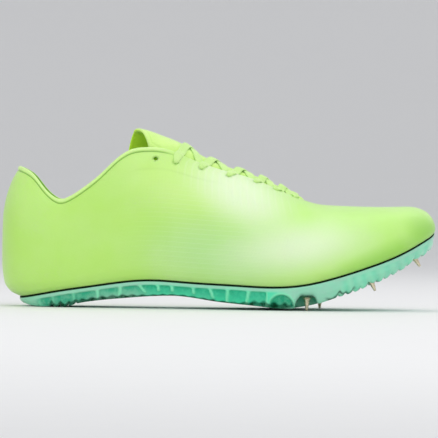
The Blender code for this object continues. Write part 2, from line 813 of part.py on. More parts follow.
def build_pins(collection):
    """Steel spike pins: stem in the plate, flange against the seat and cone below."""
    steel = make_material("pin_steel", (0.72, 0.64, 0.46), 0.3, 1.0)
    profile = [
        (0.0, -PIN_FLANGE_HEIGHT - PIN_STEM_LENGTH),
        (PIN_STEM_RADIUS, -PIN_FLANGE_HEIGHT - PIN_STEM_LENGTH),
        (PIN_STEM_RADIUS, -PIN_FLANGE_HEIGHT + GAP),
        (PIN_FLANGE_RADIUS, -PIN_FLANGE_HEIGHT + GAP),
        (PIN_FLANGE_RADIUS, 0.0),
        (PIN_BASE_RADIUS, 0.2 * PIN_FLANGE_HEIGHT),
        (PIN_TIP_RADIUS, PIN_LENGTH),
        (0.0, PIN_LENGTH),
    ]
    sides = 12
    for pin in PINS:
        base, axis = pin_frame(pin)
        across = axis.orthogonal().normalized()
        beside = axis.cross(across)
        vertices = []
        for radius, down in profile:
            turns = range(sides) if radius > 0 else range(1)
            for i in turns:
                angle = 2 * math.pi * i / sides
                spoke = across * math.cos(angle) + beside * math.sin(angle)
                vertices.append(base + axis * down + spoke * radius)
        faces = []
        for i in range(sides):
            k = (i + 1) % sides
            faces.append((0, 1 + k, 1 + i))
            for ring in range(len(profile) - 3):
                a = 1 + ring * sides
                faces.append((a + i, a + k, a + sides + k, a + sides + i))
            last = 1 + (len(profile) - 3) * sides
            faces.append((last + i, last + k, last + sides))
        add_object(pin[0], vertices, faces, collection, steel)


def over_last(x, y, lift):
    """Points at a distance outside the last's section, over instep and throat."""
    x, y = np.asarray(x, float), np.asarray(y, float)

    def height(px, py):
        station = px / SOLE_LENGTH
        outer = section_height(station, py, -1)
        inner = section_height(station, py, 1)
        return np.where(py < ridge(station)[0], outer, inner)

    nudge = 0.0005
    z = height(x, y)
    slope_x = (height(x + nudge, y) - height(x - nudge, y)) / (2 * nudge)
    slope_y = (height(x, y + nudge) - height(x, y - nudge)) / (2 * nudge)
    normal = np.stack([-slope_x, -slope_y, np.ones_like(z)], -1)
    normal /= np.linalg.norm(normal, axis=-1, keepdims=True)
    return np.stack([x, y, z], -1) + normal * lift, normal


def build_tongue(collection):
    """The tongue: an arched sheet under the throat with a slanted free end."""
    material = make_material("tongue_cloth", (0.62, 0.90, 0.20), 0.6)
    shares = np.linspace(-1, 1, 9)
    lengths = np.linspace(0, 1, 17)
    grid = []
    for length in lengths:
        top = TONGUE_TOP - TONGUE_SLANT * shares
        station = top + (TONGUE_FRONT - top) * length
        middle, _ = ridge(station)
        half = BALL_WIDTH * curve(TONGUE, 1, station)
        drop = WALL * curve(TONGUE, 2, station) * np.abs(shares) ** 3
        points, _ = over_last(place_x(station), middle + half * shares, -(WALL + 2 * GAP))
        points[:, 2] -= drop
        grid.append(points)
    grid = np.array(grid)
    rows, across = grid.shape[:2]
    faces = []
    for i in range(rows - 1):
        for j in range(across - 1):
            a = i * across + j
            faces.append((a, a + across, a + across + 1, a + 1))
    tongue = add_object("tongue", grid.reshape(-1, 3), faces, collection, material)
    if tongue.data.polygons[0].normal.z < 0:
        tongue.data.flip_normals()
    sheet = tongue.modifiers.new("Sheet", "SOLIDIFY")
    sheet.thickness = TONGUE_THICKNESS
    sheet.offset = -1
    return tongue


def ribbon(path, normals, width, thickness):
    """Vertices and faces of a flat lace along a path; normals point away from the shoe."""
    path, normals = np.asarray(path), np.asarray(normals)
    along = np.gradient(path, axis=0)
    across = np.cross(normals, along)
    across /= np.linalg.norm(across, axis=1, keepdims=True)
    vertices = []
    for point, normal, side in zip(path, normals, across):
        for right, up in ((-1, -1), (1, -1), (1, 1), (-1, 1)):
            vertices.append(point + side * right * width / 2 + normal * up * thickness / 2)
    faces = [(0, 1, 2, 3)]
    for i in range(len(path) - 1):
        a = 4 * i
        faces += [(a + k, a + (k + 1) % 4, a + 4 + (k + 1) % 4, a + 4 + k) for k in range(4)]
    last = 4 * (len(path) - 1)
    faces.append((last + 3, last + 2, last + 1, last))
    return vertices, faces


def lace_path(start, end, base, lift):
    """A strand's path over the throat between two eyelets, with a hump where strands cross."""
    shares = np.linspace(0.04, 0.98, 13)[:, None]
    plan = np.asarray(start)[:2] * (1 - shares) + np.asarray(end)[:2] * shares
    rise = lift * np.exp(-(((shares[:, 0] - 0.5) / 0.2) ** 2))
    rise += EDGE_LIFT * smooth_step(0.18, 0.42, np.abs(shares[:, 0] - 0.5))
    points, normals = over_last(plan[:, 0], plan[:, 1], base)
    return points + normals * rise[:, None], normals


def build_laces(collection, cutters):
    """The lace over the throat: crossings and a bar at the front, joined where they meet."""
    material = make_material("lace_cloth", (0.70, 0.95, 0.30), 0.7)
    base = GAP + LACE_THICKNESS / 2
    rows = [[eyelet_frame(station, side)[0] for side in (-1, 1)] for station in EYELET_ROWS[1:]]
    lower = [lace_path(b[0], a[1], base, 0.0) for a, b in zip(rows[:-1], rows[1:])]
    upper = [
        lace_path(b[1], a[0], base + LACE_THICKNESS / 4, CROSSING_LIFT)
        for a, b in zip(rows[:-1], rows[1:])
    ]
    front = [lace_path(rows[-1][0], rows[-1][1], base + LACE_THICKNESS / 2, 0.0)]
    laces = None
    for name, strands in (("laces", lower), ("upper_strands", upper), ("front_bar", front)):
        vertices, faces = [], []
        for path, normals in strands:
            points, quads = ribbon(path, normals, LACE_WIDTH, LACE_THICKNESS)
            faces += [tuple(len(vertices) + k for k in quad) for quad in quads]
            vertices += points
        if laces is None:
            laces = add_object(name, vertices, faces, collection, material)
            continue
        cutter = add_object(name, vertices, faces, cutters, material)
        cutter.hide_render = True
        cutter.display_type = "WIRE"
        apply_boolean(laces, cutter, "UNION")
    return laces


def stand_on_origin(objects):
    """Moves all pieces so that the origin is the bottom centre of their box."""
    bpy.context.view_layer.update()
    graph = bpy.context.evaluated_depsgraph_get()
    low, high = Vector((1e9,) * 3), Vector((-1e9,) * 3)
    for piece in objects:
        if piece.hide_render:
            continue
        shaped = piece.evaluated_get(graph)
        for vertex in shaped.data.vertices:
            point = shaped.matrix_world @ vertex.co
            low = Vector(map(min, low, point))
            high = Vector(map(max, high, point))
    shift = Matrix.Translation(-Vector(((low.x + high.x) / 2, (low.y + high.y) / 2, low.z)))
    for piece in objects:
        piece.data.transform(shift)


def main():
    for old in list(bpy.data.objects):
        bpy.data.objects.remove(old)
    shoe = bpy.data.collections.new("track_spike_shoe")
    cutters = bpy.data.collections.new("cutters")
    for collection in (shoe, cutters):
        bpy.context.scene.collection.children.link(collection)
    build_upper(shoe, cutters)
    board = make_material("board_edge", (0.02, 0.05, 0.03), 0.6)
    build_flat_piece(
        "lasting_board", BOARD_PROUD, lambda u: board_top(u) - BOARD_THICKNESS, board_top,
        shoe, board,
    )
    foam = make_material("insole_foam", (0.45, 0.75, 0.18), 0.8)
    build_flat_piece(
        "insole", -WALL - INSOLE_CLEARANCE, lambda u: board_top(u) + GAP,
        lambda u: board_top(u) + GAP + INSOLE_THICKNESS, shoe, foam,
    )
    build_plate(shoe, cutters)
    build_pins(shoe)
    build_tongue(shoe)
    build_laces(shoe, cutters)
    stand_on_origin(list(shoe.objects) + list(cutters.objects))


main()
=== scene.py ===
"""Track spike shoe for the right foot: its detailed pieces, finishes and studio.

Metres, +Z up, +X to the toe, +Y to the inner side of the foot. Every piece is worked out
from the named sizes in the panel and the short tables below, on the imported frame.
"""

import math

import bmesh
import bpy
import numpy as np
from bpy.props import FloatProperty, FloatVectorProperty, PointerProperty
from mathutils import Matrix, Vector
from mathutils.bvhtree import BVHTree


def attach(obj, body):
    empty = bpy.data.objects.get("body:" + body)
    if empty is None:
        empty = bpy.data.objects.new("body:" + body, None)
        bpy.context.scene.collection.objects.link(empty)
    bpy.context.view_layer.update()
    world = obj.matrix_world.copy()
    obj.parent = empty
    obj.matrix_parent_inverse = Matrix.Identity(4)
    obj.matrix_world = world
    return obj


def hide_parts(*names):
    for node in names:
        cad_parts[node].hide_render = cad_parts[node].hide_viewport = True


bl_info = {
    "name": "Track Spike Shoe",
    "version": (1, 0, 0),
    "blender": (4, 5, 0),
    "location": "3D View > Sidebar > Spike Shoe",
    "description": "Builds a woven track spike shoe with a resin plate, laces and steel pins",
    "category": "Object",
}

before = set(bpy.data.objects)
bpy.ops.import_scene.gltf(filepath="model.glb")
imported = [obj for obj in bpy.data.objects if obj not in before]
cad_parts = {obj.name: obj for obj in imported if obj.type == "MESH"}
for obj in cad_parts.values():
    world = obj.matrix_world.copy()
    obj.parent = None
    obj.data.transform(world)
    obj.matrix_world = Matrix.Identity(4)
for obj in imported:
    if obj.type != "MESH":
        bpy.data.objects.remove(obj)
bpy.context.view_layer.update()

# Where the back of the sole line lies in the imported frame
SOLE_START = (-0.1281626, 0.0000967)

# Sole line: station, outer edge, inner edge (shares of ball width), share of a named height
SOLE_LINE = [
    (0.000, 0.000, 0.000, 1.00, "heel_seat"),
    (0.018, -0.178, 0.178, 1.12, "heel_seat"),
    (0.058, -0.275, 0.275, 1.45, "heel_seat"),
    (0.112, -0.318, 0.316, 0.63, "arch"),
    (0.193, -0.333, 0.318, 0.81, "arch"),
    (0.310, -0.345, 0.287, 1.00, "arch"),
    (0.406, -0.380, 0.282, 0.94, "arch"),
    (0.522, -0.444, 0.340, 1.05, "ball"),
    (0.600, -0.484, 0.410, 1.00, "ball"),
    (0.677, -0.498, 0.474, 1.09, "ball"),
    (0.754, -0.468, 0.500, 0.414, "toe_spring"),
    (0.832, -0.388, 0.480, 0.544, "toe_spring"),
    (0.909, -0.275, 0.425, 0.700, "toe_spring"),
    (0.967, -0.125, 0.318, 0.862, "toe_spring"),
    (1.000, 0.100, 0.100, 1.000, "toe_spring"),
]

# Top edge of the collar: station, outer edge, inner edge, share of a named height
COLLAR = [
    (0.000, 0.000, 0.000, 1.000, "heel_collar"),
    (0.019, -0.140, 0.140, 0.973, "heel_collar"),
    (0.039, -0.200, 0.200, 0.923, "heel_collar"),
    (0.058, -0.240, 0.240, 0.850, "heel_collar"),
    (0.077, -0.264, 0.264, 1.035, "ankle"),
    (0.097, -0.281, 0.281, 1.000, "ankle"),
    (0.116, -0.292, 0.292, 1.020, "ankle"),
    (0.155, -0.303, 0.300, 1.118, "ankle"),
    (0.193, -0.298, 0.290, 0.826, "instep"),
    (0.232, -0.275, 0.265, 0.924, "instep"),
    (0.251, -0.260, 0.249, 0.960, "instep"),
    (0.273, -0.242, 0.231, 0.985, "instep"),
    (0.305, -0.222, 0.211, 0.994, "instep"),
]

# Edge of the throat: station, outer edge, inner edge
THROAT = [
    (0.368, -0.195, 0.184),
    (0.406, -0.175, 0.167),
    (0.484, -0.145, 0.144),
    (0.561, -0.118, 0.124),
    (0.638, -0.080, 0.096),
    (0.677, -0.042, 0.070),
    (0.695, 0.016, 0.016),
]

# Where each column of the upper ends: station on the sole line, station on the top edge
LEAN = [
    (0.00, 0.000),
    (0.06, 0.060),
    (0.22, 0.220),
    (0.37, 0.365),
    (0.50, 0.485),
    (0.61, 0.565),
    (0.71, 0.620),
    (0.81, 0.657),
    (0.90, 0.681),
    (0.97, 0.692),
    (1.00, 0.695),
]

# Ridge over instep and vamp: station, sideways drift, share of a named height
RIDGE = [
    (0.270, 0.000, 1.137, "instep"),
    (0.310, 0.000, 1.114, "instep"),
    (0.368, 0.000, 1.050, "instep"),
    (0.406, 0.000, 0.988, "instep"),
    (0.484, 0.000, 0.891, "instep"),
    (0.561, 0.004, 1.240, "vamp"),
    (0.638, 0.013, 1.100, "vamp"),
    (0.677, 0.020, 1.035, "vamp"),
    (0.705, 0.027, 0.998, "vamp"),
    (0.754, 0.042, 0.977, "vamp"),
    (0.832, 0.060, 0.970, "vamp"),
    (0.909, 0.078, 0.974, "vamp"),
    (0.948, 0.088, 0.972, "vamp"),
    (0.967, 0.092, 0.950, "vamp"),
    (0.984, 0.096, 0.905, "vamp"),
    (1.000, 0.100, 1.000, "toe_spring"),
]

# Form of the wall: station, fullness (2 is round), sweep in degrees, share of a named bulge
WALL_FORM = [
    (0.000, 2.20, 50, 1.00, "heel_overhang"),
    (0.018, 2.20, 50, 0.84, "heel_overhang"),
    (0.058, 2.20, 50, 0.52, "heel_overhang"),
    (0.112, 2.20, 50, 1.25, "side_bulge"),
    (0.200, 2.25, 52, 1.10, "side_bulge"),
    (0.310, 2.60, 58, 1.00, "side_bulge"),
    (0.406, 2.35, 64, 1.00, "side_bulge"),
    (0.522, 2.25, 70, 1.00, "side_bulge"),
    (0.677, 2.35, 80, 1.00, "side_bulge"),
    (0.754, 2.45, 86, 0.90, "side_bulge"),
    (0.832, 2.55, 90, 0.75, "side_bulge"),
    (0.909, 2.60, 90, 0.60, "side_bulge"),
    (1.000, 2.40, 90, 0.25, "side_bulge"),
]

# How the bulge grows and fades: share of the wall's height, share of the bulge
BULGE_PROFILE = [
    (0.000, 0.00),
    (0.035, 0.50),
    (0.110, 0.86),
    (0.260, 0.99),
    (0.450, 1.00),
    (0.600, 0.98),
    (0.730, 0.86),
    (0.885, 0.52),
    (1.000, 0.06),
]

# Underside of the spike plate: station, share of a named height
UNDERSIDE = [
    (0.000, 0.480, "heel_seat"),
    (0.018, 0.200, "heel_seat"),
    (0.045, 0.000, "heel_seat"),
    (0.105, 0.000, "heel_seat"),
    (0.155, 0.170, "arch"),
    (0.232, 0.310, "arch"),
    (0.368, 0.443, "arch"),
    (0.484, 0.250, "arch"),
    (0.561, 0.180, "ball"),
    (0.638, 0.070, "ball"),
    (0.700, 0.220, "ball"),
    (0.754, 0.152, "toe_spring"),
    (0.832, 0.290, "toe_spring"),
    (0.909, 0.485, "toe_spring"),
    (0.967, 0.670, "toe_spring"),
    (1.000, 0.790, "toe_spring"),
]

# Tongue: station, half width (share of ball width), how far its sides drop (walls)
TONGUE = [
    (0.250, 0.186, 5.0),
    (0.310, 0.200, 3.0),
    (0.360, 0.236, 0.3),
    (0.420, 0.240, 0.0),
    (0.500, 0.220, 0.0),
    (0.600, 0.186, 0.0),
    (0.680, 0.130, 0.0),
    (0.720, 0.100, 0.0),
]
TONGUE_TOP = 0.282
TONGUE_FRONT = 0.708
TONGUE_SLANT = 0.027

# Eyelet rows: station of the top edge, share of the eyelet inset. The first pair stays empty.
EYELET_ROWS = [
    (0.324, 1.00),
    (0.372, 1.00),
    (0.433, 0.66),
    (0.498, 0.66),
    (0.561, 0.60),
    (0.606, 0.56),
    (0.650, 0.52),
]

# Soft creases of the upper: side, station, share of the wall's height, lean in degrees,
# length and width in metres, depth in metres (a ridge is negative)
CREASES = [
    (-1, 0.235, 0.62, 62, 0.020, 0.0040, 0.00035),
    (-1, 0.300, 0.80, 20, 0.018, 0.0035, 0.00030),
    (-1, 0.700, 0.62, 52, 0.016, 0.0032, 0.00040),
    (-1, 0.735, 0.60, 48, 0.015, 0.0032, -0.00028),
    (-1, 0.775, 0.58, 44, 0.015, 0.0032, 0.00036),
    (1, 0.240, 0.60, 62, 0.020, 0.0040, 0.00035),
    (1, 0.690, 0.64, 54, 0.016, 0.0032, 0.00040),
    (1, 0.728, 0.62, 50, 0.015, 0.0032, -0.00028),
    (1, 0.770, 0.60, 46, 0.015, 0.0032, 0.00036),
]

# Ribs on the plate's side: station, lean towards the toe at the foot in metres, and how far
# down the side the rib hangs (1 is the whole way)
SIDE_RIBS = [
    (0.048, 0.0030, 1.0),
    (0.082, 0.0008, 1.0),
    (0.132, 0.0012, 1.0),
    (0.189, 0.0004, 1.0),
    (0.243, -0.0006, 1.0),
    (0.297, 0.0072, 0.66),
    (0.335, 0.0018, 0.58),
    (0.368, 0.0008, 0.60),
    (0.419, 0.0012, 0.62),
    (0.462, 0.0034, 0.74),
    (0.500, -0.0006, 1.0),
    (0.549, -0.0018, 1.0),
    (0.596, -0.0012, 1.0),
]
HALF_ROUND_STATION = 0.630
HEEL_TREAD = (0.082, 0.155)
TOE_TREAD = (0.765, 0.985)

# Spike pins: node, station, sideways place (share of ball width), how far sunk (0 is upright)
PINS = [
    ("pin_outer_rear", 0.691, -0.395, 0.0),
    ("pin_inner_rear", 0.727, 0.400, 0.0),
    ("pin_outer_middle", 0.849, -0.265, 0.0038),
    ("pin_inner_middle", 0.854, 0.365, 0.0038),
    ("pin_outer_front", 0.956, -0.030, 0.0034),
    ("pin_inner_front", 0.957, 0.215, 0.0034),
]

# Arched notch over a rear pin: half width and height, as shares of the notch's
NOTCH_ARCH = [(0.00, 1.00), (0.22, 1.00), (0.33, 0.86), (0.43, 0.55), (0.49, 0.20), (0.50, -0.12)]

# Fine shares of the wall's height, and the rows near its top edge as distances below it in mm,
# close together over binding, seam and rim
WALL_SHARES = np.linspace(0, 1, 90) ** 1.3
EDGE_ROWS = [4.6, 4.2, 3.9, 3.65, 3.4, 3.15, 2.9, 2.5, 2.0, 1.5, 1.05, 0.7, 0.42, 0.2, 0.06, 0.0]

# Side of the plate: share of the way down, how far it runs in as a share of the draft
PLATE_PROFILE = [(0.00, 0.00), (0.20, 0.05), (0.55, 0.35), (0.88, 0.95), (1.00, 1.55)]
PLATE_THINNEST = 0.0008

# Flutes of the forefoot: distance between them, lean, and how far they sway over which length
FLUTE_PITCH = 0.0078
FLUTE_LEAN = 0.35
FLUTE_SWAY = 0.0011
FLUTE_SWAY_LENGTH = 0.031

# Colour zones of the upper: name of the colour, centre x and z, half length and height in
# metres, turn in degrees, softness, strength
# The mint zones are partly the film's pale mint and partly painted sheen of the glossy film; the toe zones
# are partly the toe's deeper green and partly painted shade low on the toe
COLOUR_ZONES = [
    ("colour_quarter", -0.020, 0.079, 0.036, 0.016, -16, 0.8, 0.60),
    ("colour_shade", 0.006, 0.036, 0.044, 0.020, -3, 0.8, 0.80),
    ("colour_forefoot", 0.100, 0.058, 0.070, 0.034, 4, 0.9, 0.90),
    ("colour_mint", 0.014, 0.074, 0.028, 0.015, -30, 0.8, 0.80),
    ("colour_mint", 0.052, 0.041, 0.033, 0.012, 8, 0.9, 0.75),
    ("colour_toe", 0.108, 0.033, 0.040, 0.007, 24, 0.9, 0.90),
    ("colour_toe", 0.137, 0.050, 0.009, 0.012, 50, 0.9, 0.95),
]

# Softboxes: name, place, the point it faces, width, height, share of the key light's power
SOFTBOXES = [
    ("key_softbox", (0.35, -1.10, 1.15), (0.02, 0.0, 0.05), 1.10, 1.10, 1.00),
    ("top_softbox", (0.05, 0.10, 1.30), (0.02, 0.0, 0.05), 1.30, 1.30, 0.90),
    ("fill_softbox", (-1.20, -0.60, 0.60), (-0.05, 0.0, 0.05), 0.90, 0.90, 0.35),
    ("rim_softbox", (0.90, 0.90, 0.70), (0.05, 0.0, 0.06), 0.70, 0.70, 0.35),
    ("low_softbox", (0.22, -3.60, 0.94), (0.03, 0.0, 0.02), 1.94, 0.88, 1.55),
]


def length(name, default, description, largest=1.0):
    """A size in metres for the panel."""
    return FloatProperty(
        name=name, default=default, min=0.0, max=largest, unit="LENGTH", precision=5,
        description=description,
    )


def colour(name, default, description):
    """A colour for the panel."""
    return FloatVectorProperty(
        name=name, default=default, size=3, min=0.0, max=1.0, subtype="COLOR",
        description=description,
    )


class SHOE_PG_last(bpy.types.PropertyGroup):
    """Sizes of the last that upper and sole share."""

    sole_length: length("Sole Length", 0.268, "Length of the sole line from heel to toe")
    ball_width: length("Ball Width", 0.089, "Width of the sole line at the ball")
    heel_overhang: length("Heel Overhang", 0.012, "How far the heel stands out behind the sole")
    side_bulge: length("Side Bulge", 0.0035, "How far the sides stand out over the sole")
    heel_seat: length("Heel Seat", 0.0062, "Height of the sole line at the back of the heel")
    arch: length("Arch", 0.0185, "Height of the sole line at the arch")
    ball: length("Ball", 0.0152, "Height of the sole line at the ball")
    toe_spring: length("Toe Spring", 0.0515, "Height of the sole line at the tip of the toe")
    heel_collar: length("Heel Collar", 0.0905, "Height of the collar at the back")
    ankle: length("Ankle", 0.0695, "Height of the collar under the ankle")
    instep: length("Instep", 0.1043, "Height of the collar at the instep")
    vamp: length("Vamp", 0.069, "Height of the vamp in front of the throat")


class SHOE_PG_upper(bpy.types.PropertyGroup):
    """Sizes and colours of upper, tongue and insole."""

    wall: length("Wall", 0.0015, "Thickness of the upper")
    binding_width: length("Binding Width", 0.0030, "Width of the rolled binding at the collar")
    binding_step: length("Binding Step", 0.0007, "How far the binding stands proud")
    eyestay_width: length("Eyestay Width", 0.0150, "Width of the reinforced strip by the throat")
    eyelet_radius: length("Eyelet Radius", 0.0015, "Radius of the lace holes")
    eyelet_inset: length("Eyelet Inset", 0.0085, "Distance of the lace holes from the edge")
    tongue_thickness: length("Tongue Thickness", 0.0020, "Thickness of the tongue")
    tongue_crown: length("Tongue Crown", 0.0021, "How far the tongue swells up in the throat")
    insole_thickness: length("Insole Thickness", 0.0030, "Thickness of the insole")
    thread_spacing: length("Thread Spacing", 0.0009, "Distance between the upper's threads")
    colour_heel: colour("Heel", (0.48, 0.82, 0.135), "Yellow-green of heel and quarter")
    colour_quarter: colour("Quarter", (0.62, 0.91, 0.25), "Paler green under the throat")
    colour_shade: colour("Waist", (0.46, 0.76, 0.32), "Greyish green of the lower midfoot")
    colour_forefoot: colour("Forefoot", (0.52, 0.90, 0.20), "Green of the forefoot")
    # Pale mint of the film, which in the mint zones also stands in for painted sheen of the glossy film
    colour_mint: colour("Mint", (0.80, 0.93, 0.66), "Pale mint where the film is thickest")
    # Deeper green of the toe, partly painted shade low on the toe and at its front
    colour_toe: colour("Toe", (0.29, 0.68, 0.045), "Deeper green low on the toe")
    colour_binding: colour("Binding", (0.62, 0.91, 0.28), "Pale green of the collar's binding")
    colour_seam: colour("Seam", (0.20, 0.44, 0.05), "Dark green of seams and eyelets")
    colour_lining: colour("Lining", (0.30, 0.66, 0.02), "Strong green of the inside")
    colour_tongue: colour("Tongue", (0.66, 0.94, 0.26), "Clear yellow-green of the tongue")
    # Green of the tongue's back, brightened as painted light: it stands in for light shining through the
    # cloth and offsets the shade of the hollow
    colour_back_and_light: colour("Tongue Back", (0.62, 1.00, 0.01), "Light green of the tongue's back")


class SHOE_PG_sole(bpy.types.PropertyGroup):
    """Sizes and colours of spike plate, board and pins."""

    board_thickness: length("Board Thickness", 0.0011, "Thickness of the lasting board")
    gap: length("Gap", 0.0001, "Clearance between pieces")
    plate_proud: length("Plate Proud", 0.0003, "How far the plate stands out over the sole line")
    plate_draft: length("Plate Draft", 0.0022, "How far the plate's side runs in")
    lip_height: length("Lip Height", 0.0023, "Height of the plain lip along the plate's top")
    rib_width: length("Rib Width", 0.0017, "Width of the ribs on the plate's side")
    pocket_depth: length("Pocket Depth", 0.0012, "Depth of the pockets between the ribs")
    half_round: length("Half-round Pocket", 0.0078, "Radius of the half-round pocket at the ball")
    notch_width: length("Notch Width", 0.0160, "Width of the arch over each rear pin")
    tread_depth: length("Tread Depth", 0.0015, "Depth of the tread grooves")
    tread_pitch: length("Tread Pitch", 0.0049, "Distance between tread grooves")
    pin_length: length("Pin Length", 0.0080, "Length of a pin's cone")
    pin_base: length("Pin Base", 0.0021, "Radius of a cone at its base")
    pin_tip: length("Pin Tip", 0.0007, "Radius of a cone at its tip")
    pin_flange: length("Pin Flange", 0.0031, "Radius of a pin's flange")
    flange_height: length("Flange Height", 0.0009, "Thickness of a pin's flange")
    colour_lip: colour("Lip", (0.32, 0.65, 0.49), "Grey-mint of lip and forefoot")
    colour_rib: colour("Rib", (0.24, 0.86, 0.52), "Bright green of the ribs")
    colour_middle: colour("Middle", (0.055, 0.77, 0.44), "Emerald of the plate between heel and ball")
    # Also used for painted shade under the lip of the pockets and over the plate's underside
    colour_pocket: colour("Pocket", (0.003, 0.43, 0.235), "Deep teal of the pockets")
    colour_board: colour("Board", (0.002, 0.014, 0.003), "Near-black green of the board's edge")
    colour_pin: colour("Pin", (0.80, 0.70, 0.50), "Pale brass tone of the plated pins")


class SHOE_PG_lace(bpy.types.PropertyGroup):
    """Sizes and colour of the lace."""

    width: length("Width", 0.0055, "Width of the flat lace")
    thickness: length("Thickness", 0.0012, "Thickness of the flat lace")
    colour_lace: colour("Lace", (0.64, 0.94, 0.30), "Pale green of the lace")


class SHOE_PG_stage(bpy.types.PropertyGroup):
    """Camera and light."""

    lens: FloatProperty(name="Lens", default=420.0, min=20.0, max=900.0, description="Lens in mm")
    view_width: length("View Width", 0.2838, "Width of the picture at the shoe", 5.0)
    view_height: length("View Height", 0.0577, "Height of the picture's centre above the floor")
    elevation: FloatProperty(
        name="Elevation", default=math.radians(0.4), subtype="ANGLE",
        description="How far the camera looks down",
    )
    roll: FloatProperty(
        name="Roll", default=math.radians(0.78), subtype="ANGLE",
        description="How far the picture is rolled",
    )
    key_power: FloatProperty(name="Key Power", default=5.3, min=0.0, description="Softbox in W")
    floor_colour: colour("Floor", (0.82, 0.82, 0.81), "Pale floor")


def curve(rows, column, at):
    """Natural cubic spline through one column of a table."""
    x = np.array([row[0] for row in rows], float)
    y = np.array([row[column] for row in rows], float)
    step = np.diff(x)
    count = len(x)
    system = np.eye(count)
    right = np.zeros(count)
    for i in range(1, count - 1):
        system[i, i - 1:i + 2] = step[i - 1], 2 * (step[i - 1] + step[i]), step[i]
        right[i] = 6 * ((y[i + 1] - y[i]) / step[i] - (y[i] - y[i - 1]) / step[i - 1])
    bend = np.linalg.solve(system, right)
    at = np.clip(np.asarray(at, float), x[0], x[-1])
    i = np.clip(np.searchsorted(x, at, side="right") - 1, 0, count - 2)
    h = step[i]
    a = (x[i + 1] - at) / h
    b = (at - x[i]) / h
    return a * y[i] + b * y[i + 1] + ((a**3 - a) * bend[i] + (b**3 - b) * bend[i + 1]) * h**2 / 6


def level_curve(rows, column, at):
    """Cubic through one column of a table that never overshoots, so that level stays level."""
    x = np.array([row[0] for row in rows], float)
    y = np.array([row[column] for row in rows], float)
    step = np.diff(x)
    rise = np.diff(y) / step
    slope = np.zeros(len(x))
    for i in range(1, len(x) - 1):
        if rise[i - 1] * rise[i] > 0:
            slope[i] = 2 / (1 / rise[i - 1] + 1 / rise[i])
    slope[0], slope[-1] = rise[0], rise[-1]
    at = np.clip(np.asarray(at, float), x[0], x[-1])
    i = np.clip(np.searchsorted(x, at, side="right") - 1, 0, len(x) - 2)
    t = (at - x[i]) / step[i]
    h = step[i]
    return (
        (2 * t**3 - 3 * t**2 + 1) * y[i]
        + (t**3 - 2 * t**2 + t) * h * slope[i]
        + (3 * t**2 - 2 * t**3) * y[i + 1]
        + (t**3 - t**2) * h * slope[i + 1]
    )


def smooth_step(low, high, value):
    """0 below low, 1 above high and a soft change between."""
    t = np.clip((np.asarray(value, float) - low) / (high - low), 0, 1)
    return t * t * (3 - 2 * t)


def between(start, full, fade, end, value):
    """0 up to start, 1 from full to fade and 0 again from end, with soft changes."""
    return smooth_step(start, full, value) * (1 - smooth_step(fade, end, value))


def bell(distance, width):
    """exp(-(distance / width)^2): 1 in the middle, soft on both sides."""
    return np.exp(-((distance / width) ** 2))


def turned(station, end=1.0):
    """Share of the half turn round the outline: arccos(1 - 2 station / end) / pi."""
    return np.arccos(np.clip(1 - 2 * np.asarray(station, float) / end, -1, 1)) / math.pi


def unturned(turn, end=1.0):
    """Station of a share of the half turn."""
    return end * (1 - np.cos(np.asarray(turn, float) * math.pi)) / 2


def by_turn(rows, end=1.0):
    """The same table with its first column as shares of the half turn."""
    return [(float(turned(row[0], end)),) + tuple(row[1:]) for row in rows]


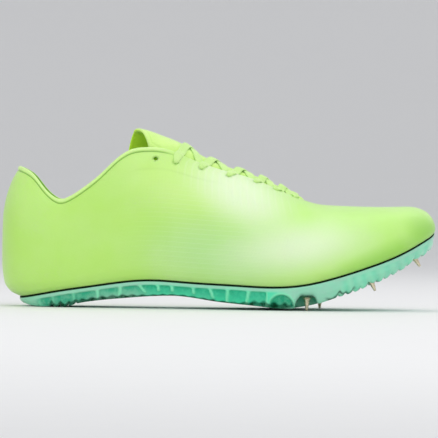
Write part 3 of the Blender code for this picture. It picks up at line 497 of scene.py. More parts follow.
class Last:
    """The form that upper and sole share, worked out from the named sizes and the tables."""

    def __init__(self, sizes):
        self.length = sizes.sole_length
        self.width = sizes.ball_width

        def sized(rows):
            return [row[:-2] + (row[-2] * getattr(sizes, row[-1]),) for row in rows]

        self.sole_rows = by_turn(sized(SOLE_LINE))
        self.collar_rows = sized(COLLAR)
        self.ridge_rows = by_turn(sized(RIDGE))
        self.form_rows = by_turn(sized(WALL_FORM))
        self.underside_rows = sized(UNDERSIDE)
        self.top_rows = {side: self._top_edge(side) for side in (-1, 1)}

    def station_at(self, x):
        """Station of a place along the shoe, held between heel and toe."""
        return np.clip(x / self.length, 0, 1)

    def edge(self, station, side):
        """Sideways place of the sole line."""
        return self.width * curve(self.sole_rows, 1 if side < 0 else 2, turned(station))

    def foot(self, station):
        """Height of the sole line."""
        return curve(self.sole_rows, 3, turned(station))

    def ridge(self, station):
        """Sideways place and height of the ridge over instep and vamp."""
        at = turned(station)
        return self.width * curve(self.ridge_rows, 1, at), curve(self.ridge_rows, 2, at)

    def underside(self, station):
        """Height of the plate's underside without its tread."""
        return level_curve(self.underside_rows, 1, station)

    def section(self, station, y, side):
        """Height of the last: foot + (ridge - foot) (1 - q^n)^(1/n), q from ridge to edge."""
        middle, top = self.ridge(station)
        foot = self.foot(station)
        n = curve(self.form_rows, 1, turned(station))
        half = np.maximum(np.abs(self.edge(station, side) - middle), 1e-6)
        q = np.clip(np.abs(y - middle) / half, 0, 1)
        return foot + (top - foot) * (1 - q**n) ** (1 / n)

    def _top_edge(self, side):
        column = 1 if side < 0 else 2
        rows = [(row[0], self.width * row[column], row[3]) for row in self.collar_rows]
        for row in THROAT:
            y = self.width * row[column]
            rows.append((row[0], y, float(self.section(row[0], y, side))))
        return by_turn(rows, THROAT[-1][0])

    def outline(self, turns, side, proud):
        """Plan points of the sole line, moved outwards along its plan normal by proud."""
        ends = []
        for shift in (-1e-4, 1e-4):
            at = np.asarray(turns, float) + shift
            mirrored = (at < 0) | (at > 1)
            inside = np.where(at < 0, -at, np.where(at > 1, 2 - at, at))
            station = unturned(inside)
            y = np.where(mirrored, self.edge(station, -side), self.edge(station, side))
            ends.append(np.stack([station * self.length, y], -1))
        along = ends[1] - ends[0]
        along /= np.linalg.norm(along, axis=-1, keepdims=True)
        outward = np.stack([-along[..., 1] * side, along[..., 0] * side], -1)
        station = unturned(turns)
        plan = np.stack([station * self.length, self.edge(station, side)], -1)
        return plan + outward * np.asarray(proud)[..., None], outward

    def wall(self, turns, side, shares):
        """Outer face of the upper, one column for each turn and one row for each share.

        Behind the instep a column is an arch cut off at the collar. In front of it the
        column runs in plan to the throat, at the height of the last's section. The bulge
        moves it outwards along the plan normal.
        """
        turns = np.asarray(turns, float)[:, None]
        shares = np.asarray(shares, float)[None, :]
        station = unturned(turns)
        foot_x, foot_y, foot_z = station * self.length, self.edge(station, side), self.foot(station)
        end = THROAT[-1][0]
        edge_turn = turned(curve(LEAN, 1, station), end)
        edge_x = unturned(edge_turn, end) * self.length
        edge_y = curve(self.top_rows[side], 1, edge_turn)
        edge_z = curve(self.top_rows[side], 2, edge_turn)
        at = turned(station)
        power = 2 / curve(self.form_rows, 1, at)
        sweep = np.radians(np.minimum(curve(self.form_rows, 2, at), 90))
        cosine = np.maximum(np.cos(shares * sweep), 0)
        inward = (1 - cosine**power) / (1 - np.maximum(np.cos(sweep), 0) ** power)
        rise = (np.sin(shares * sweep) / np.sin(sweep)) ** power
        front = smooth_step(0.26, 0.42, station)
        inward = (1 - front) * inward + front * (1 - np.cos(shares * math.pi / 2))
        x = foot_x + (edge_x - foot_x) * inward
        y = foot_y + (edge_y - foot_y) * inward
        over = self.section(x / self.length, y, side)
        z = (1 - front) * (foot_z + (edge_z - foot_z) * rise) + front * over
        climbed = np.clip((z - foot_z) / (edge_z - foot_z), 0, 1)
        bulge = curve(self.form_rows, 3, at) * level_curve(BULGE_PROFILE, 1, climbed)
        _, outward = self.outline(turns[:, 0], side, 0)
        return np.stack([x + outward[:, :1] * bulge, y + outward[:, 1:] * bulge, z], -1)

    def over(self, x, y, lift):
        """Points at a distance outside the last's section, and its normals."""
        def height(px, py):
            station = px / self.length
            outer = self.section(station, py, -1)
            inner = self.section(station, py, 1)
            return np.where(py < self.ridge(station)[0], outer, inner)

        step = 0.0005
        z = height(x, y)
        slope_x = (height(x + step, y) - height(x - step, y)) / (2 * step)
        slope_y = (height(x, y + step) - height(x, y - step)) / (2 * step)
        normal = unit(np.stack([-slope_x, -slope_y, np.ones_like(z)], -1))
        return np.stack([x, y, z], -1) + normal * np.asarray(lift)[..., None], normal


def unit(vectors):
    """Vectors of length 1."""
    return vectors / np.maximum(np.linalg.norm(vectors, axis=-1, keepdims=True), 1e-12)


def run_along(points):
    """Lengths from a path's first point to each of its points."""
    steps = np.linalg.norm(np.diff(points, axis=0), axis=1)
    return np.concatenate([[0], np.cumsum(steps)])


def at_lengths(points, run, lengths):
    """Points of a path at the given lengths along it."""
    return np.stack([np.interp(lengths, run, points[:, k]) for k in range(3)], -1)


def placed(points):
    """Moves points from the sole line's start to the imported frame."""
    return points + np.array([SOLE_START[0], SOLE_START[1], 0.0])


def ring_of(side_points, turns):
    """Joins both sides' columns into one ring: outer side to the toe, inner side back."""
    outer, inner = side_points(turns, -1), side_points(turns, 1)
    return np.concatenate([outer, inner[1:-1][::-1]], axis=0)


def even_turns(last, count):
    """Turns that divide the sole line's outline into equal lengths."""
    fine = np.linspace(0, 1, 2000)
    station = unturned(fine)
    run = run_along(np.stack([station * last.length, last.edge(station, -1)], -1))
    return np.interp(np.linspace(0, run[-1], count + 1), run, fine)


def ring_normals(grid):
    """Unit normals of a grid whose first axis is a closed ring."""
    around = np.roll(grid, -1, axis=0) - np.roll(grid, 1, axis=0)
    return unit(np.cross(around, np.gradient(grid, axis=1)))


def ring_quads(around, rows, start=0, closed=True):
    """Quads of a grid, vertex (i, j) being start + i * rows + j."""
    i = np.arange(around if closed else around - 1)[:, None]
    j = np.arange(rows - 1)[None, :]
    a = start + i * rows + j
    b = start + ((i + 1) % around) * rows + j
    return np.stack([a, b, b + 1, a + 1], -1).reshape(-1, 4)


def add_piece(name, points, quads, triangles=None, uv=None, wrap=None, **attributes):
    """A smooth closed mesh at the origin from arrays, with its faces turned outwards.

    uv holds metres along and across for each vertex, wrap the length after which the
    first comes round again. Each attribute is a number for each vertex.
    """
    triangles = np.zeros((0, 3), int) if triangles is None else triangles
    mesh = bpy.data.meshes.new(name)
    mesh.vertices.add(len(points))
    mesh.vertices.foreach_set("co", np.asarray(points, np.float32).ravel())
    corners = np.concatenate([quads.ravel(), triangles.ravel()]).astype(np.int32)
    sizes = np.concatenate([np.full(len(quads), 4), np.full(len(triangles), 3)])
    starts = np.concatenate([[0], np.cumsum(sizes)[:-1]]).astype(np.int32)
    mesh.loops.add(len(corners))
    mesh.loops.foreach_set("vertex_index", corners)
    mesh.polygons.add(len(sizes))
    mesh.polygons.foreach_set("loop_start", starts)
    mesh.update(calc_edges=True)
    work = bmesh.new()
    work.from_mesh(mesh)
    bmesh.ops.recalc_face_normals(work, faces=work.faces)
    work.to_mesh(mesh)
    work.free()
    mesh.polygons.foreach_set("use_smooth", np.ones(len(sizes), bool))
    for key, values in attributes.items():
        layer = mesh.attributes.new(key, "FLOAT", "POINT")
        layer.data.foreach_set("value", np.asarray(values, np.float32).ravel())
    if uv is not None:
        index = np.empty(len(corners), np.int32)
        mesh.loops.foreach_get("vertex_index", index)
        flat = np.asarray(uv, float)[index]
        if wrap is not None:
            highest = np.repeat(np.maximum.reduceat(flat[:, 0], starts), sizes)
            behind = highest - flat[:, 0] > wrap[index] / 2
            flat[:, 0] += behind * wrap[index]
        layer = mesh.uv_layers.new(name="surface")
        layer.data.foreach_set("uv", flat.astype(np.float32).ravel())
    piece = bpy.data.objects.new(name, mesh)
    bpy.context.scene.collection.objects.link(piece)
    return piece


def finish_piece(piece, material, slot, *nodes):
    """Gives a piece its material, hangs it under the root body and hides the nodes it stands for."""
    piece.data.materials.append(material)
    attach(piece, "root")
    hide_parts(*nodes)


def ladder_faces(rungs, tip_first, tip_last):
    """Quads between rungs, and triangles from the first and last rung to the tips."""
    a, b = rungs[:-1], rungs[1:]
    quads = np.stack([a[:, :-1], a[:, 1:], b[:, 1:], b[:, :-1]], -1).reshape(-1, 4)
    ends = []
    for tip, rung in ((tip_first, rungs[0]), (tip_last, rungs[-1])):
        ends.append(np.stack([np.full(len(rung) - 1, tip), rung[:-1], rung[1:]], -1))
    return quads, np.concatenate(ends)


def ring_solid(grid, cross, first_face, last_face):
    """Closed solid from a ring grid: rungs run straight across its first and its last row.

    cross gives the shares of each row's inner points, and the two functions move those points.
    """
    around, rows = grid.shape[:2]
    toe = around // 2
    i = np.arange(1, toe)
    points = [grid.reshape(-1, 3)]
    quads, triangles = [ring_quads(around, rows)], []
    first = around * rows
    for row, shares, shape in ((0, cross[0], first_face), (rows - 1, cross[1], last_face)):
        t = np.asarray(shares)[None, :, None]
        inside = grid[i, row][:, None] * (1 - t) + grid[around - i, row][:, None] * t
        points.append(shape(inside).reshape(-1, 3))
        numbers = first + np.arange(len(i) * len(shares)).reshape(len(i), len(shares))
        outer_end, inner_end = i * rows + row, (around - i) * rows + row
        rungs = np.concatenate([outer_end[:, None], numbers, inner_end[:, None]], axis=1)
        more, ends = ladder_faces(rungs, row, toe * rows + row)
        quads.append(more)
        triangles.append(ends)
        first += numbers.size
    return np.concatenate(points), np.concatenate(quads), np.concatenate(triangles)


class Tree:
    """A node tree with short calls for adding and linking nodes."""

    def __init__(self, tree):
        self.tree = tree

    def add(self, kind, settings=None, **inputs):
        """A node with its settings and inputs."""
        node = self.tree.nodes.new(kind)
        for key, value in (settings or {}).items():
            setattr(node, key, value)
        self.fill(node, **inputs)
        return node

    def fill(self, node, **inputs):
        """Links or sets a node's inputs, named with _ for a space, or in0, in1 by their order."""
        for key, value in inputs.items():
            numbered = key.startswith("in") and key[2:].isdigit()
            self.put(node.inputs[int(key[2:]) if numbered else key.replace("_", " ")], value)

    def put(self, socket, value):
        """Links or sets a socket."""
        if isinstance(value, bpy.types.NodeSocket):
            self.tree.links.new(value, socket)
        elif isinstance(value, (tuple, list)) and len(socket.default_value) == 4:
            socket.default_value = (*value[:3], 1)
        else:
            socket.default_value = value

    def math(self, operation, a, b=0.0, clamp=False):
        """A maths node's result."""
        settings = {"operation": operation, "use_clamp": clamp}
        return self.add("ShaderNodeMath", settings, in0=a, in1=b).outputs[0]

    def times(self, a, b):
        """A product."""
        return self.math("MULTIPLY", a, b)

    def mix(self, factor, a, b):
        """A colour between two."""
        settings = {"data_type": "RGBA"}
        return self.add("ShaderNodeMix", settings, in0=factor, in6=a, in7=b).outputs[2]

    def ramp(self, value, low, high, to_low=0.0, to_high=1.0):
        """A soft change between two values."""
        return self.add(
            "ShaderNodeMapRange", {"interpolation_type": "SMOOTHSTEP"}, Value=value,
            From_Min=low, From_Max=high, To_Min=to_low, To_Max=to_high,
        ).outputs[0]

    def noise(self, vector, scale, detail=3.0, roughness=0.55):
        """A noise value."""
        return self.add(
            "ShaderNodeTexNoise", None, Vector=vector, Scale=scale, Detail=detail,
            Roughness=roughness,
        ).outputs[0]

    def waves(self, value, spacing):
        """A sine with one wave for each spacing."""
        return self.math("SINE", self.times(value, 2 * math.pi / spacing))

    def split(self, vector):
        """X, Y and Z of a vector."""
        return self.add("ShaderNodeSeparateXYZ", None, Vector=vector).outputs

    def here(self):
        """Place on the object in metres."""
        return self.add("ShaderNodeTexCoord").outputs["Object"]

    def surface(self):
        """Place on the piece's own surface in metres, along and across."""
        return self.add("ShaderNodeUVMap", {"uv_map": "surface"}).outputs[0]

    def bump(self, height, strength):
        """A normal that follows a height in metres."""
        return self.add(
            "ShaderNodeBump", None, Strength=strength, Distance=1.0, Height=height
        ).outputs[0]

    def attribute(self, name):
        """A number stored on the mesh."""
        return self.add("ShaderNodeAttribute", {"attribute_name": name}).outputs["Fac"]

    def group(self, group, **inputs):
        """Outputs of a node that uses a group."""
        return self.add("ShaderNodeGroup", {"node_tree": group}, **inputs).outputs


def shared_group(name, inputs, outputs, build):
    """A shader group with named sockets, built once by build(tree, given, result)."""
    if name in bpy.data.node_groups:
        return bpy.data.node_groups[name]
    group = bpy.data.node_groups.new(name, "ShaderNodeTree")
    for socket, kind, value in inputs:
        made = group.interface.new_socket(socket, in_out="INPUT", socket_type=kind)
        if value is not None:
            made.default_value = value
    for socket, kind in outputs:
        group.interface.new_socket(socket, in_out="OUTPUT", socket_type=kind)
    tree = Tree(group)
    build(tree, tree.add("NodeGroupInput").outputs, tree.add("NodeGroupOutput").inputs)
    return group


def build_weave(tree, given, result):
    """Height = |sin along| where the warp is on top and |sin across| where the weft is."""
    wobble = tree.add("ShaderNodeTexNoise", None, Vector=given["Surface"], Scale=180.0, Detail=2.0)
    place = tree.split(given["Surface"])
    turn = tree.math("DIVIDE", math.pi, given["Spacing"])
    sway = tree.times(tree.math("SUBTRACT", wobble.outputs[0], 0.5), given["Waviness"])
    sway = tree.times(sway, 6.0)
    along = tree.math("SINE", tree.math("ADD", tree.times(place[0], turn), sway))
    across = tree.math("SINE", tree.math("ADD", tree.times(place[1], turn), sway))
    on_top = tree.ramp(tree.times(along, across), -0.35, 0.35)
    lifted = tree.times(tree.math("ABSOLUTE", along), on_top)
    lowered = tree.times(tree.math("ABSOLUTE", across), tree.math("SUBTRACT", 1.0, on_top))
    height = tree.math("ADD", lifted, lowered)
    tree.put(result["Height"], height)
    tree.put(result["Gap"], tree.ramp(height, 0.1, 0.55, 1.0, 0.0))


def weave_group():
    """Plain weave: threads along and across, each going over and under the other."""
    scalar, vector = "NodeSocketFloat", "NodeSocketVector"
    return shared_group(
        "Plain Weave",
        [("Surface", vector, None), ("Spacing", scalar, 0.001), ("Waviness", scalar, 0.1)],
        [("Height", scalar), ("Gap", scalar)],
        build_weave,
    )


def build_zone(tree, given, result):
    """Mask = 1 - soft step of ((along / length)^2 + (across / height)^2)^(1/2) at the border."""
    place = tree.split(tree.here())
    x = tree.math("SUBTRACT", place[0], given["X"])
    z = tree.math("SUBTRACT", place[2], given["Z"])
    cosine, sine = tree.math("COSINE", given["Turn"]), tree.math("SINE", given["Turn"])
    along = tree.math("ADD", tree.times(x, cosine), tree.times(z, sine))
    across = tree.math("SUBTRACT", tree.times(z, cosine), tree.times(x, sine))
    along = tree.math("POWER", tree.math("DIVIDE", along, given["Half Length"]), 2.0)
    across = tree.math("POWER", tree.math("DIVIDE", across, given["Half Height"]), 2.0)
    reach = tree.math("SQRT", tree.math("ADD", along, across))
    low = tree.math("SUBTRACT", 1.0, given["Softness"])
    high = tree.math("ADD", 1.0, given["Softness"])
    mask = tree.ramp(reach, low, high, 1.0, 0.0)
    tree.put(result["Mask"], tree.times(mask, given["Strength"]))


def zone_group():
    """A soft turned ellipse on the object's side view, 1 inside and 0 outside."""
    values = {
        "X": 0.0, "Z": 0.0, "Half Length": 0.03, "Half Height": 0.02, "Turn": 0.0,
        "Softness": 0.8, "Strength": 1.0,
    }
    scalar = "NodeSocketFloat"
    inputs = [(name, scalar, value) for name, value in values.items()]
    return shared_group("Soft Zone", inputs, [("Mask", scalar)], build_zone)


def build_wear(tree, given, result):
    """Mask = soft patches times a fine noise times the amount."""
    here = tree.here()
    patches = tree.ramp(tree.noise(here, 38.0, 4.0), 0.45, 0.75)
    fine = tree.ramp(tree.noise(here, 900.0, 2.0), 0.35, 0.7)
    mask = tree.times(tree.times(patches, fine), given["Amount"])
    tree.put(result["Colour"], tree.mix(mask, given["Colour"], (0.55, 0.56, 0.50)))
    rough = tree.math("ADD", given["Roughness"], tree.times(mask, 0.5), clamp=True)
    tree.put(result["Roughness"], rough)


def wear_group():
    """Slight scuffs and dust: patchy noise that dulls and greys a surface."""
    scalar, tint = "NodeSocketFloat", "NodeSocketColor"
    return shared_group(
        "Light Wear",
        [("Colour", tint, None), ("Roughness", scalar, 0.5), ("Amount", scalar, 0.1)],
        [("Colour", tint), ("Roughness", scalar)],
        build_wear,
    )


def new_material(name):
    """A material, its tree and its Principled BSDF."""
    material = bpy.data.materials.new(name)
    material.use_nodes = True
    return material, Tree(material.node_tree), material.node_tree.nodes["Principled BSDF"]


def zone_mask(tree, x, z, half_length, half_height, angle, softness, strength):
    """Mask of a soft turned ellipse, its angle in degrees."""
    return tree.group(
        zone_group(), X=x, Z=z, Half_Length=half_length, Half_Height=half_height,
        Turn=math.radians(angle), Softness=softness, Strength=strength,
    )["Mask"]


def upper_material(look):
    """Thin glossy weave with soft colour zones, binding, seams, eyelets and lining.

    Raised cords of the knit run along the midfoot and across the strip by the throat.
    """
    cord_spacing, band_spacing = 0.0031, 0.0046
    material, tree, shader = new_material("upper_mesh")
    surface, here = tree.surface(), tree.here()
    tint = tuple(look.colour_heel)
    # Colour zones: besides the upper's own tones, the mint zones add painted sheen of the glossy film and
    # the toe zones add painted shade low on the toe
    for name, *zone in COLOUR_ZONES:
        tint = tree.mix(zone_mask(tree, *zone), tint, tuple(getattr(look, name)))
    weave = tree.group(weave_group(), Surface=surface, Spacing=look.thread_spacing, Waviness=0.12)
    place = tree.split(surface)
    lines = tree.ramp(tree.waves(place[1], cord_spacing), 0.55, 1.0)
    bands = tree.ramp(tree.waves(place[0], band_spacing), 0.2, 1.0)
    midfoot = tree.times(zone_mask(tree, -0.008, 0.048, 0.040, 0.030, 0, 0.7, 0.7), 0.55)
    throat = zone_mask(tree, 0.010, 0.080, 0.034, 0.013, -22, 0.5, 1.0)
    cords = tree.math("MAXIMUM", tree.times(lines, midfoot), tree.times(bands, throat))
    cloudy = tree.ramp(tree.noise(here, 26.0), 0.3, 0.7)
    tint = tree.mix(tree.times(cloudy, 0.10), tint, tuple(look.colour_mint))
    tint = tree.mix(tree.times(cords, 0.22), tint, tuple(look.colour_mint))
    tint = tree.mix(tree.times(weave["Gap"], 0.14), tint, tuple(look.colour_seam))
    for name in ("binding", "seam", "lining"):
        tint = tree.mix(tree.attribute(name), tint, tuple(getattr(look, "colour_" + name)))
    worn = tree.group(wear_group(), Colour=tint, Roughness=0.42, Amount=0.10)
    height = tree.times(weave["Height"], 0.00010)
    height = tree.math("ADD", height, tree.times(cords, 0.00006))
    height = tree.math("ADD", height, tree.times(tree.noise(here, 55.0, 2.0), 0.00025))
    tree.fill(
        shader, Base_Color=worn["Colour"], Roughness=worn["Roughness"],
        Normal=tree.bump(height, 0.8), Sheen_Weight=0.15, Coat_Weight=0.18, Coat_Roughness=0.35,
        Subsurface_Weight=0.12, Subsurface_Radius=(0.4, 1.0, 0.15), Subsurface_Scale=0.003,
    )
    return material


def cloth_material(name, base, shade, back, spacing, depth):
    """Soft cloth: weave, slight mottling, seams and a back where the mesh says so."""
    material, tree, shader = new_material(name)
    surface, here = tree.surface(), tree.here()
    weave = tree.group(weave_group(), Surface=surface, Spacing=spacing, Waviness=0.25)
    mottled = tree.ramp(tree.noise(here, 120.0), 0.3, 0.7)
    tint = tree.mix(tree.times(mottled, 0.12), tuple(base), tuple(shade))
    tint = tree.mix(tree.times(weave["Gap"], 0.30), tint, tuple(shade))
    tint = tree.mix(tree.attribute("seam"), tint, tuple(shade))
    # On the tongue the back colour is brightened: painted light for the light that shines through the cloth
    tint = tree.mix(tree.attribute("lining"), tint, tuple(back))
    worn = tree.group(wear_group(), Colour=tint, Roughness=0.72, Amount=0.12)
    tree.fill(
        shader, Base_Color=worn["Colour"], Roughness=worn["Roughness"],
        Normal=tree.bump(tree.times(weave["Height"], depth), 0.8),
        Sheen_Weight=0.35, Sheen_Roughness=0.5,
    )
    return material


def plate_material(look):
    """Cloudy turquoise resin: mint lip, emerald middle, bright ribs, deep pockets, clear coat.

    Masks from the mesh: middle, rib, pocket and shade, which darkens the lower edge. Pocket
    holds the pockets' deep teal with painted shade under the lip and over the underside, and
    the coat fades where it is deep; rib and middle also hold a painted highlight on the
    forefoot's flutes and painted shade between them.
    """
    edge_shade = (0.001, 0.05, 0.02)
    material, tree, shader = new_material("plate_resin")
    here = tree.here()
    cloud = tree.ramp(tree.noise(here, 70.0, 4.0, 0.6), 0.3, 0.72)
    mottle = tree.ramp(tree.noise(here, 260.0, 3.0, 0.7), 0.35, 0.65)
    tint = tree.mix(tree.times(cloud, 0.40), tuple(look.colour_lip), tuple(look.colour_rib))
    middle = tree.times(tree.attribute("middle"), tree.ramp(cloud, 0.0, 1.0, 0.8, 1.0))
    tint = tree.mix(middle, tint, tuple(look.colour_middle))
    # Painted shade: the pockets' deep teal, and below, the coat fades where it is deep so that the pockets
    # reflect less
    deep = tree.times(tree.attribute("pocket"), tree.ramp(mottle, 0.0, 1.0, 0.7, 1.0))
    tint = tree.mix(deep, tint, tuple(look.colour_pocket))
    tint = tree.mix(tree.times(tree.attribute("rib"), 0.85), tint, tuple(look.colour_rib))
    shade = tree.times(tree.attribute("shade"), tree.ramp(mottle, 0.0, 1.0, 0.75, 1.0))
    tint = tree.mix(shade, tint, edge_shade)
    worn = tree.group(wear_group(), Colour=tint, Roughness=0.28, Amount=0.06)
    grain = tree.times(tree.noise(here, 420.0), 0.00006)
    swirl = tree.times(tree.noise(here, 60.0, 2.0), 0.0003)
    tree.fill(
        shader, Base_Color=worn["Colour"], Roughness=worn["Roughness"],
        Normal=tree.bump(tree.math("ADD", grain, swirl), 0.7), IOR=1.5,
        Specular_IOR_Level=tree.ramp(shade, 0.0, 1.0, 0.35, 0.05),
        Coat_Weight=tree.ramp(deep, 0.0, 1.0, 0.22, 0.0), Coat_Roughness=0.14,
        Subsurface_Weight=0.12, Subsurface_Radius=(0.25, 1.0, 0.75), Subsurface_Scale=0.002,
    )
    return material


def board_material(look):
    """Dark fibre board whose cut edge is matt and slightly fuzzy."""
    fuzz = (0.01, 0.04, 0.01)
    material, tree, shader = new_material("board_edge")
    fibre = tree.noise(tree.here(), 1400.0)
    tree.fill(
        shader,
        Base_Color=tree.mix(tree.ramp(fibre, 0.35, 0.8, 0.0, 0.4), tuple(look.colour_board), fuzz),
        Roughness=tree.ramp(fibre, 0.2, 0.8, 0.6, 0.9),
        Normal=tree.bump(tree.times(fibre, 0.0001), 0.6), Specular_IOR_Level=0.15,
    )
    return material


def pin_material(look):
    """Plated steel turned on a lathe: fine rings, slightly dulled in noisy patches."""
    ring_spacing, dull = 0.00028, (0.40, 0.34, 0.26)
    material, tree, shader = new_material("pin_steel")
    rings = tree.waves(tree.split(tree.surface())[1], ring_spacing)
    stain = tree.ramp(tree.noise(tree.here(), 500.0), 0.4, 0.75)
    tree.fill(
        shader, Base_Color=tree.mix(tree.times(stain, 0.5), tuple(look.colour_pin), dull),
        Roughness=tree.ramp(stain, 0.0, 1.0, 0.24, 0.5),
        Normal=tree.bump(tree.times(rings, 0.00001), 0.5), Metallic=0.9,
    )
    return material


def floor_material(look):
    """Plain pale studio floor with a faint mottling."""
    material, tree, shader = new_material("studio_floor")
    here = tree.here()
    base = tuple(look.floor_colour)
    dim = tuple(0.985 * value for value in base)
    tree.fill(
        shader, Base_Color=tree.mix(tree.noise(here, 3.0), base, dim),
        Roughness=tree.ramp(tree.noise(here, 40.0, 2.0), 0.3, 0.7, 0.55, 0.62),
    )
    return material


def upper_skin(last, columns, rows):
    """Skin of the upper: columns resampled to even shares of their length below the edge rows."""
    turns = even_turns(last, columns)
    below = np.array(EDGE_ROWS) * 1e-3
    shares = np.linspace(0, 1, rows + 1)[:-1] ** 1.12

    def side(turns, side):
        result = []
        for points in last.wall(turns, side, WALL_SHARES):
            run = run_along(points)
            lengths = np.concatenate([shares * (run[-1] - below[0]), run[-1] - below])
            result.append(at_lengths(points, run, lengths))
        return np.array(result)

    return ring_of(side, turns), turns


def eyelet_frame(last, station, side, inset):
    """Centre of an eyelet on the skin, its outward normal and the way to the throat's edge.

    The inset is measured along the skin. Three columns with three points each give both ways.
    """
    turn_step, reach = 0.004, 0.001
    turns = np.linspace(0, 1, 400)
    turn = float(np.interp(station, curve(LEAN, 1, unturned(turns)), turns))
    rows = []
    for points in last.wall([turn - turn_step, turn, turn + turn_step], side, WALL_SHARES):
        run = run_along(points)
        lengths = run[-1] - np.array([inset + reach, inset, inset - reach])
        rows.append(at_lengths(points, run, lengths))
    rows = np.array(rows)
    to_edge = unit(rows[1, 2] - rows[1, 0])
    normal = unit(np.cross(rows[2, 1] - rows[0, 1], to_edge) * -side)
    return rows[1, 1], normal, to_edge


def crease_depth(last, skin, stations, sides, climbed):
    """Sum of long soft troughs: depth exp(-(across / width)^2 - (along / length)^2)."""
    depth = np.zeros(skin.shape[:2])
    height = np.linalg.norm(np.diff(skin, axis=1), axis=2).sum(axis=1)[:, None]
    for side, station, share, lean, reach, width, amount in CREASES:
        along = (stations[:, None] - station) * last.length + np.zeros_like(climbed)
        up = (climbed - share) * height
        angle = math.radians(lean)
        run = along * math.cos(angle) + up * math.sin(angle)
        off = up * math.cos(angle) - along * math.sin(angle)
        soft = np.exp(-((off / width) ** 2) - (run / reach) ** 2)
        depth += amount * soft * (sides[:, None] == side)
    return depth


def upper_relief(last, look, skin, stations, sides, run):
    """How far the outer face stands off the skin, and its masks of seams and binding.

    Offset = binding roll - seam groove + eyestay step - creases. The roll is half an ellipse
    over the binding's width, groove and line are exp(-(distance / width)^2).
    """
    groove_place, groove_width, groove_depth = 0.00035, 0.00032, 0.00035
    stay_taper, stay_soft, stay_step = 0.0045, 0.0006, 0.00012
    line_place, line_width = 0.0003, 0.00045
    half = look.binding_width / 2
    below = run[:, -1:] - run
    edge_station = curve(LEAN, 1, stations)[:, None]
    bound = 1 - smooth_step(0.335, 0.385, edge_station)
    stay = between(0.255, 0.30, 0.43, 0.50, edge_station)
    roll = np.clip(1 - ((below - half) / half) ** 2, 0, 1)
    groove = bell(below - look.binding_width - groove_place, groove_width)
    stay_edge = look.eyestay_width - stay_taper * smooth_step(0.45, 0.69, edge_station)
    step = smooth_step(-stay_soft, stay_soft, stay_edge - below)
    line = bell(below - stay_edge - line_place, line_width)
    offset = look.binding_step * 1.25 * np.sqrt(roll) * bound
    offset -= groove_depth * groove * bound
    offset += stay_step * step * stay
    offset -= crease_depth(last, skin, stations, sides, run / run[:, -1:])
    seam = groove * bound + 0.10 * line * stay
    binding = np.clip(smooth_step(0.0002, 0.0006, look.binding_width - below) * bound, 0, 1)
    return offset, seam, binding


def cut_eyelets(last, look, skin, quads, sides):
    """Cells to open for the eyelets, the shift that rounds their rims, and their seam mask.

    A cell opens where its middle is within the eyelet's radius. The vertices on the border
    of the opened cells move along the skin until they lie at the radius.
    """
    patch, patch_depth, rim_width = 0.02, 0.01, 0.0005
    around, total = skin.shape[:2]
    cells = quads.reshape(around, total - 1, 4)
    opened = np.zeros((around, total - 1), bool)
    shift = np.zeros_like(skin)
    mask = np.zeros((around, total))
    wide = look.eyelet_radius

    def touched(some):
        hit = np.zeros(around * total, bool)
        hit[some.ravel()] = True
        return hit.reshape(around, total)

    for station, share in EYELET_ROWS:
        for side in (-1, 1):
            centre, normal, to_edge = eyelet_frame(last, station, side, share * look.eyelet_inset)
            beside = np.cross(normal, to_edge)
            flat = np.stack([(skin - centre) @ beside, (skin - centre) @ to_edge], -1)
            deep = (skin - centre) @ normal
            reach = np.linalg.norm(flat, axis=-1)
            near = (reach < patch) & (np.abs(deep) < patch_depth) & (sides[:, None] == side)
            middle = flat.reshape(-1, 2)[quads].mean(axis=1).reshape(around, total - 1, 2)
            cut = (np.linalg.norm(middle, axis=-1) < wide) & near[:, :-1]
            opened |= cut
            rimmed = touched(cells[cut]) & touched(cells[near[:, :-1] & ~cut])
            move = (unit(flat) * wide - flat) * rimmed[..., None]
            shift += move[..., :1] * beside + move[..., 1:] * to_edge
            mask += bell(np.maximum(reach, wide) - wide, rim_width) * near
    return opened, shift, mask


def shell_faces(quads, opened):
    """Faces of a shell: its outer and inner face, the eyelets' walls, foot and rim.

    The inner face's vertices follow the outer face's, in the same order.
    """
    around, total = opened.shape[0], opened.shape[1] + 1
    inner = around * total
    cells = quads.reshape(around, total - 1, 4)
    kept = quads[~opened.ravel()]
    faces = [kept, kept[:, ::-1] + inner]
    border = np.zeros((around, 1), bool)
    foot = np.arange(around) * total
    rim = foot + total - 1
    walls = [
        cells[opened & ~np.concatenate([border, opened[:, :-1]], axis=1)][:, [0, 1]],
        cells[opened & ~np.roll(opened, -1, axis=0)][:, [1, 2]],
        cells[opened & ~np.concatenate([opened[:, 1:], border], axis=1)][:, [2, 3]],
        cells[opened & ~np.roll(opened, 1, axis=0)][:, [3, 0]],
        np.stack([np.roll(foot, -1), foot], -1),
        np.stack([rim, np.roll(rim, -1)], -1),
    ]
    for wall in walls:
        a, b = wall.T
        faces.append(np.stack([a, b, b + inner, a + inner], -1))
    return np.concatenate(faces)


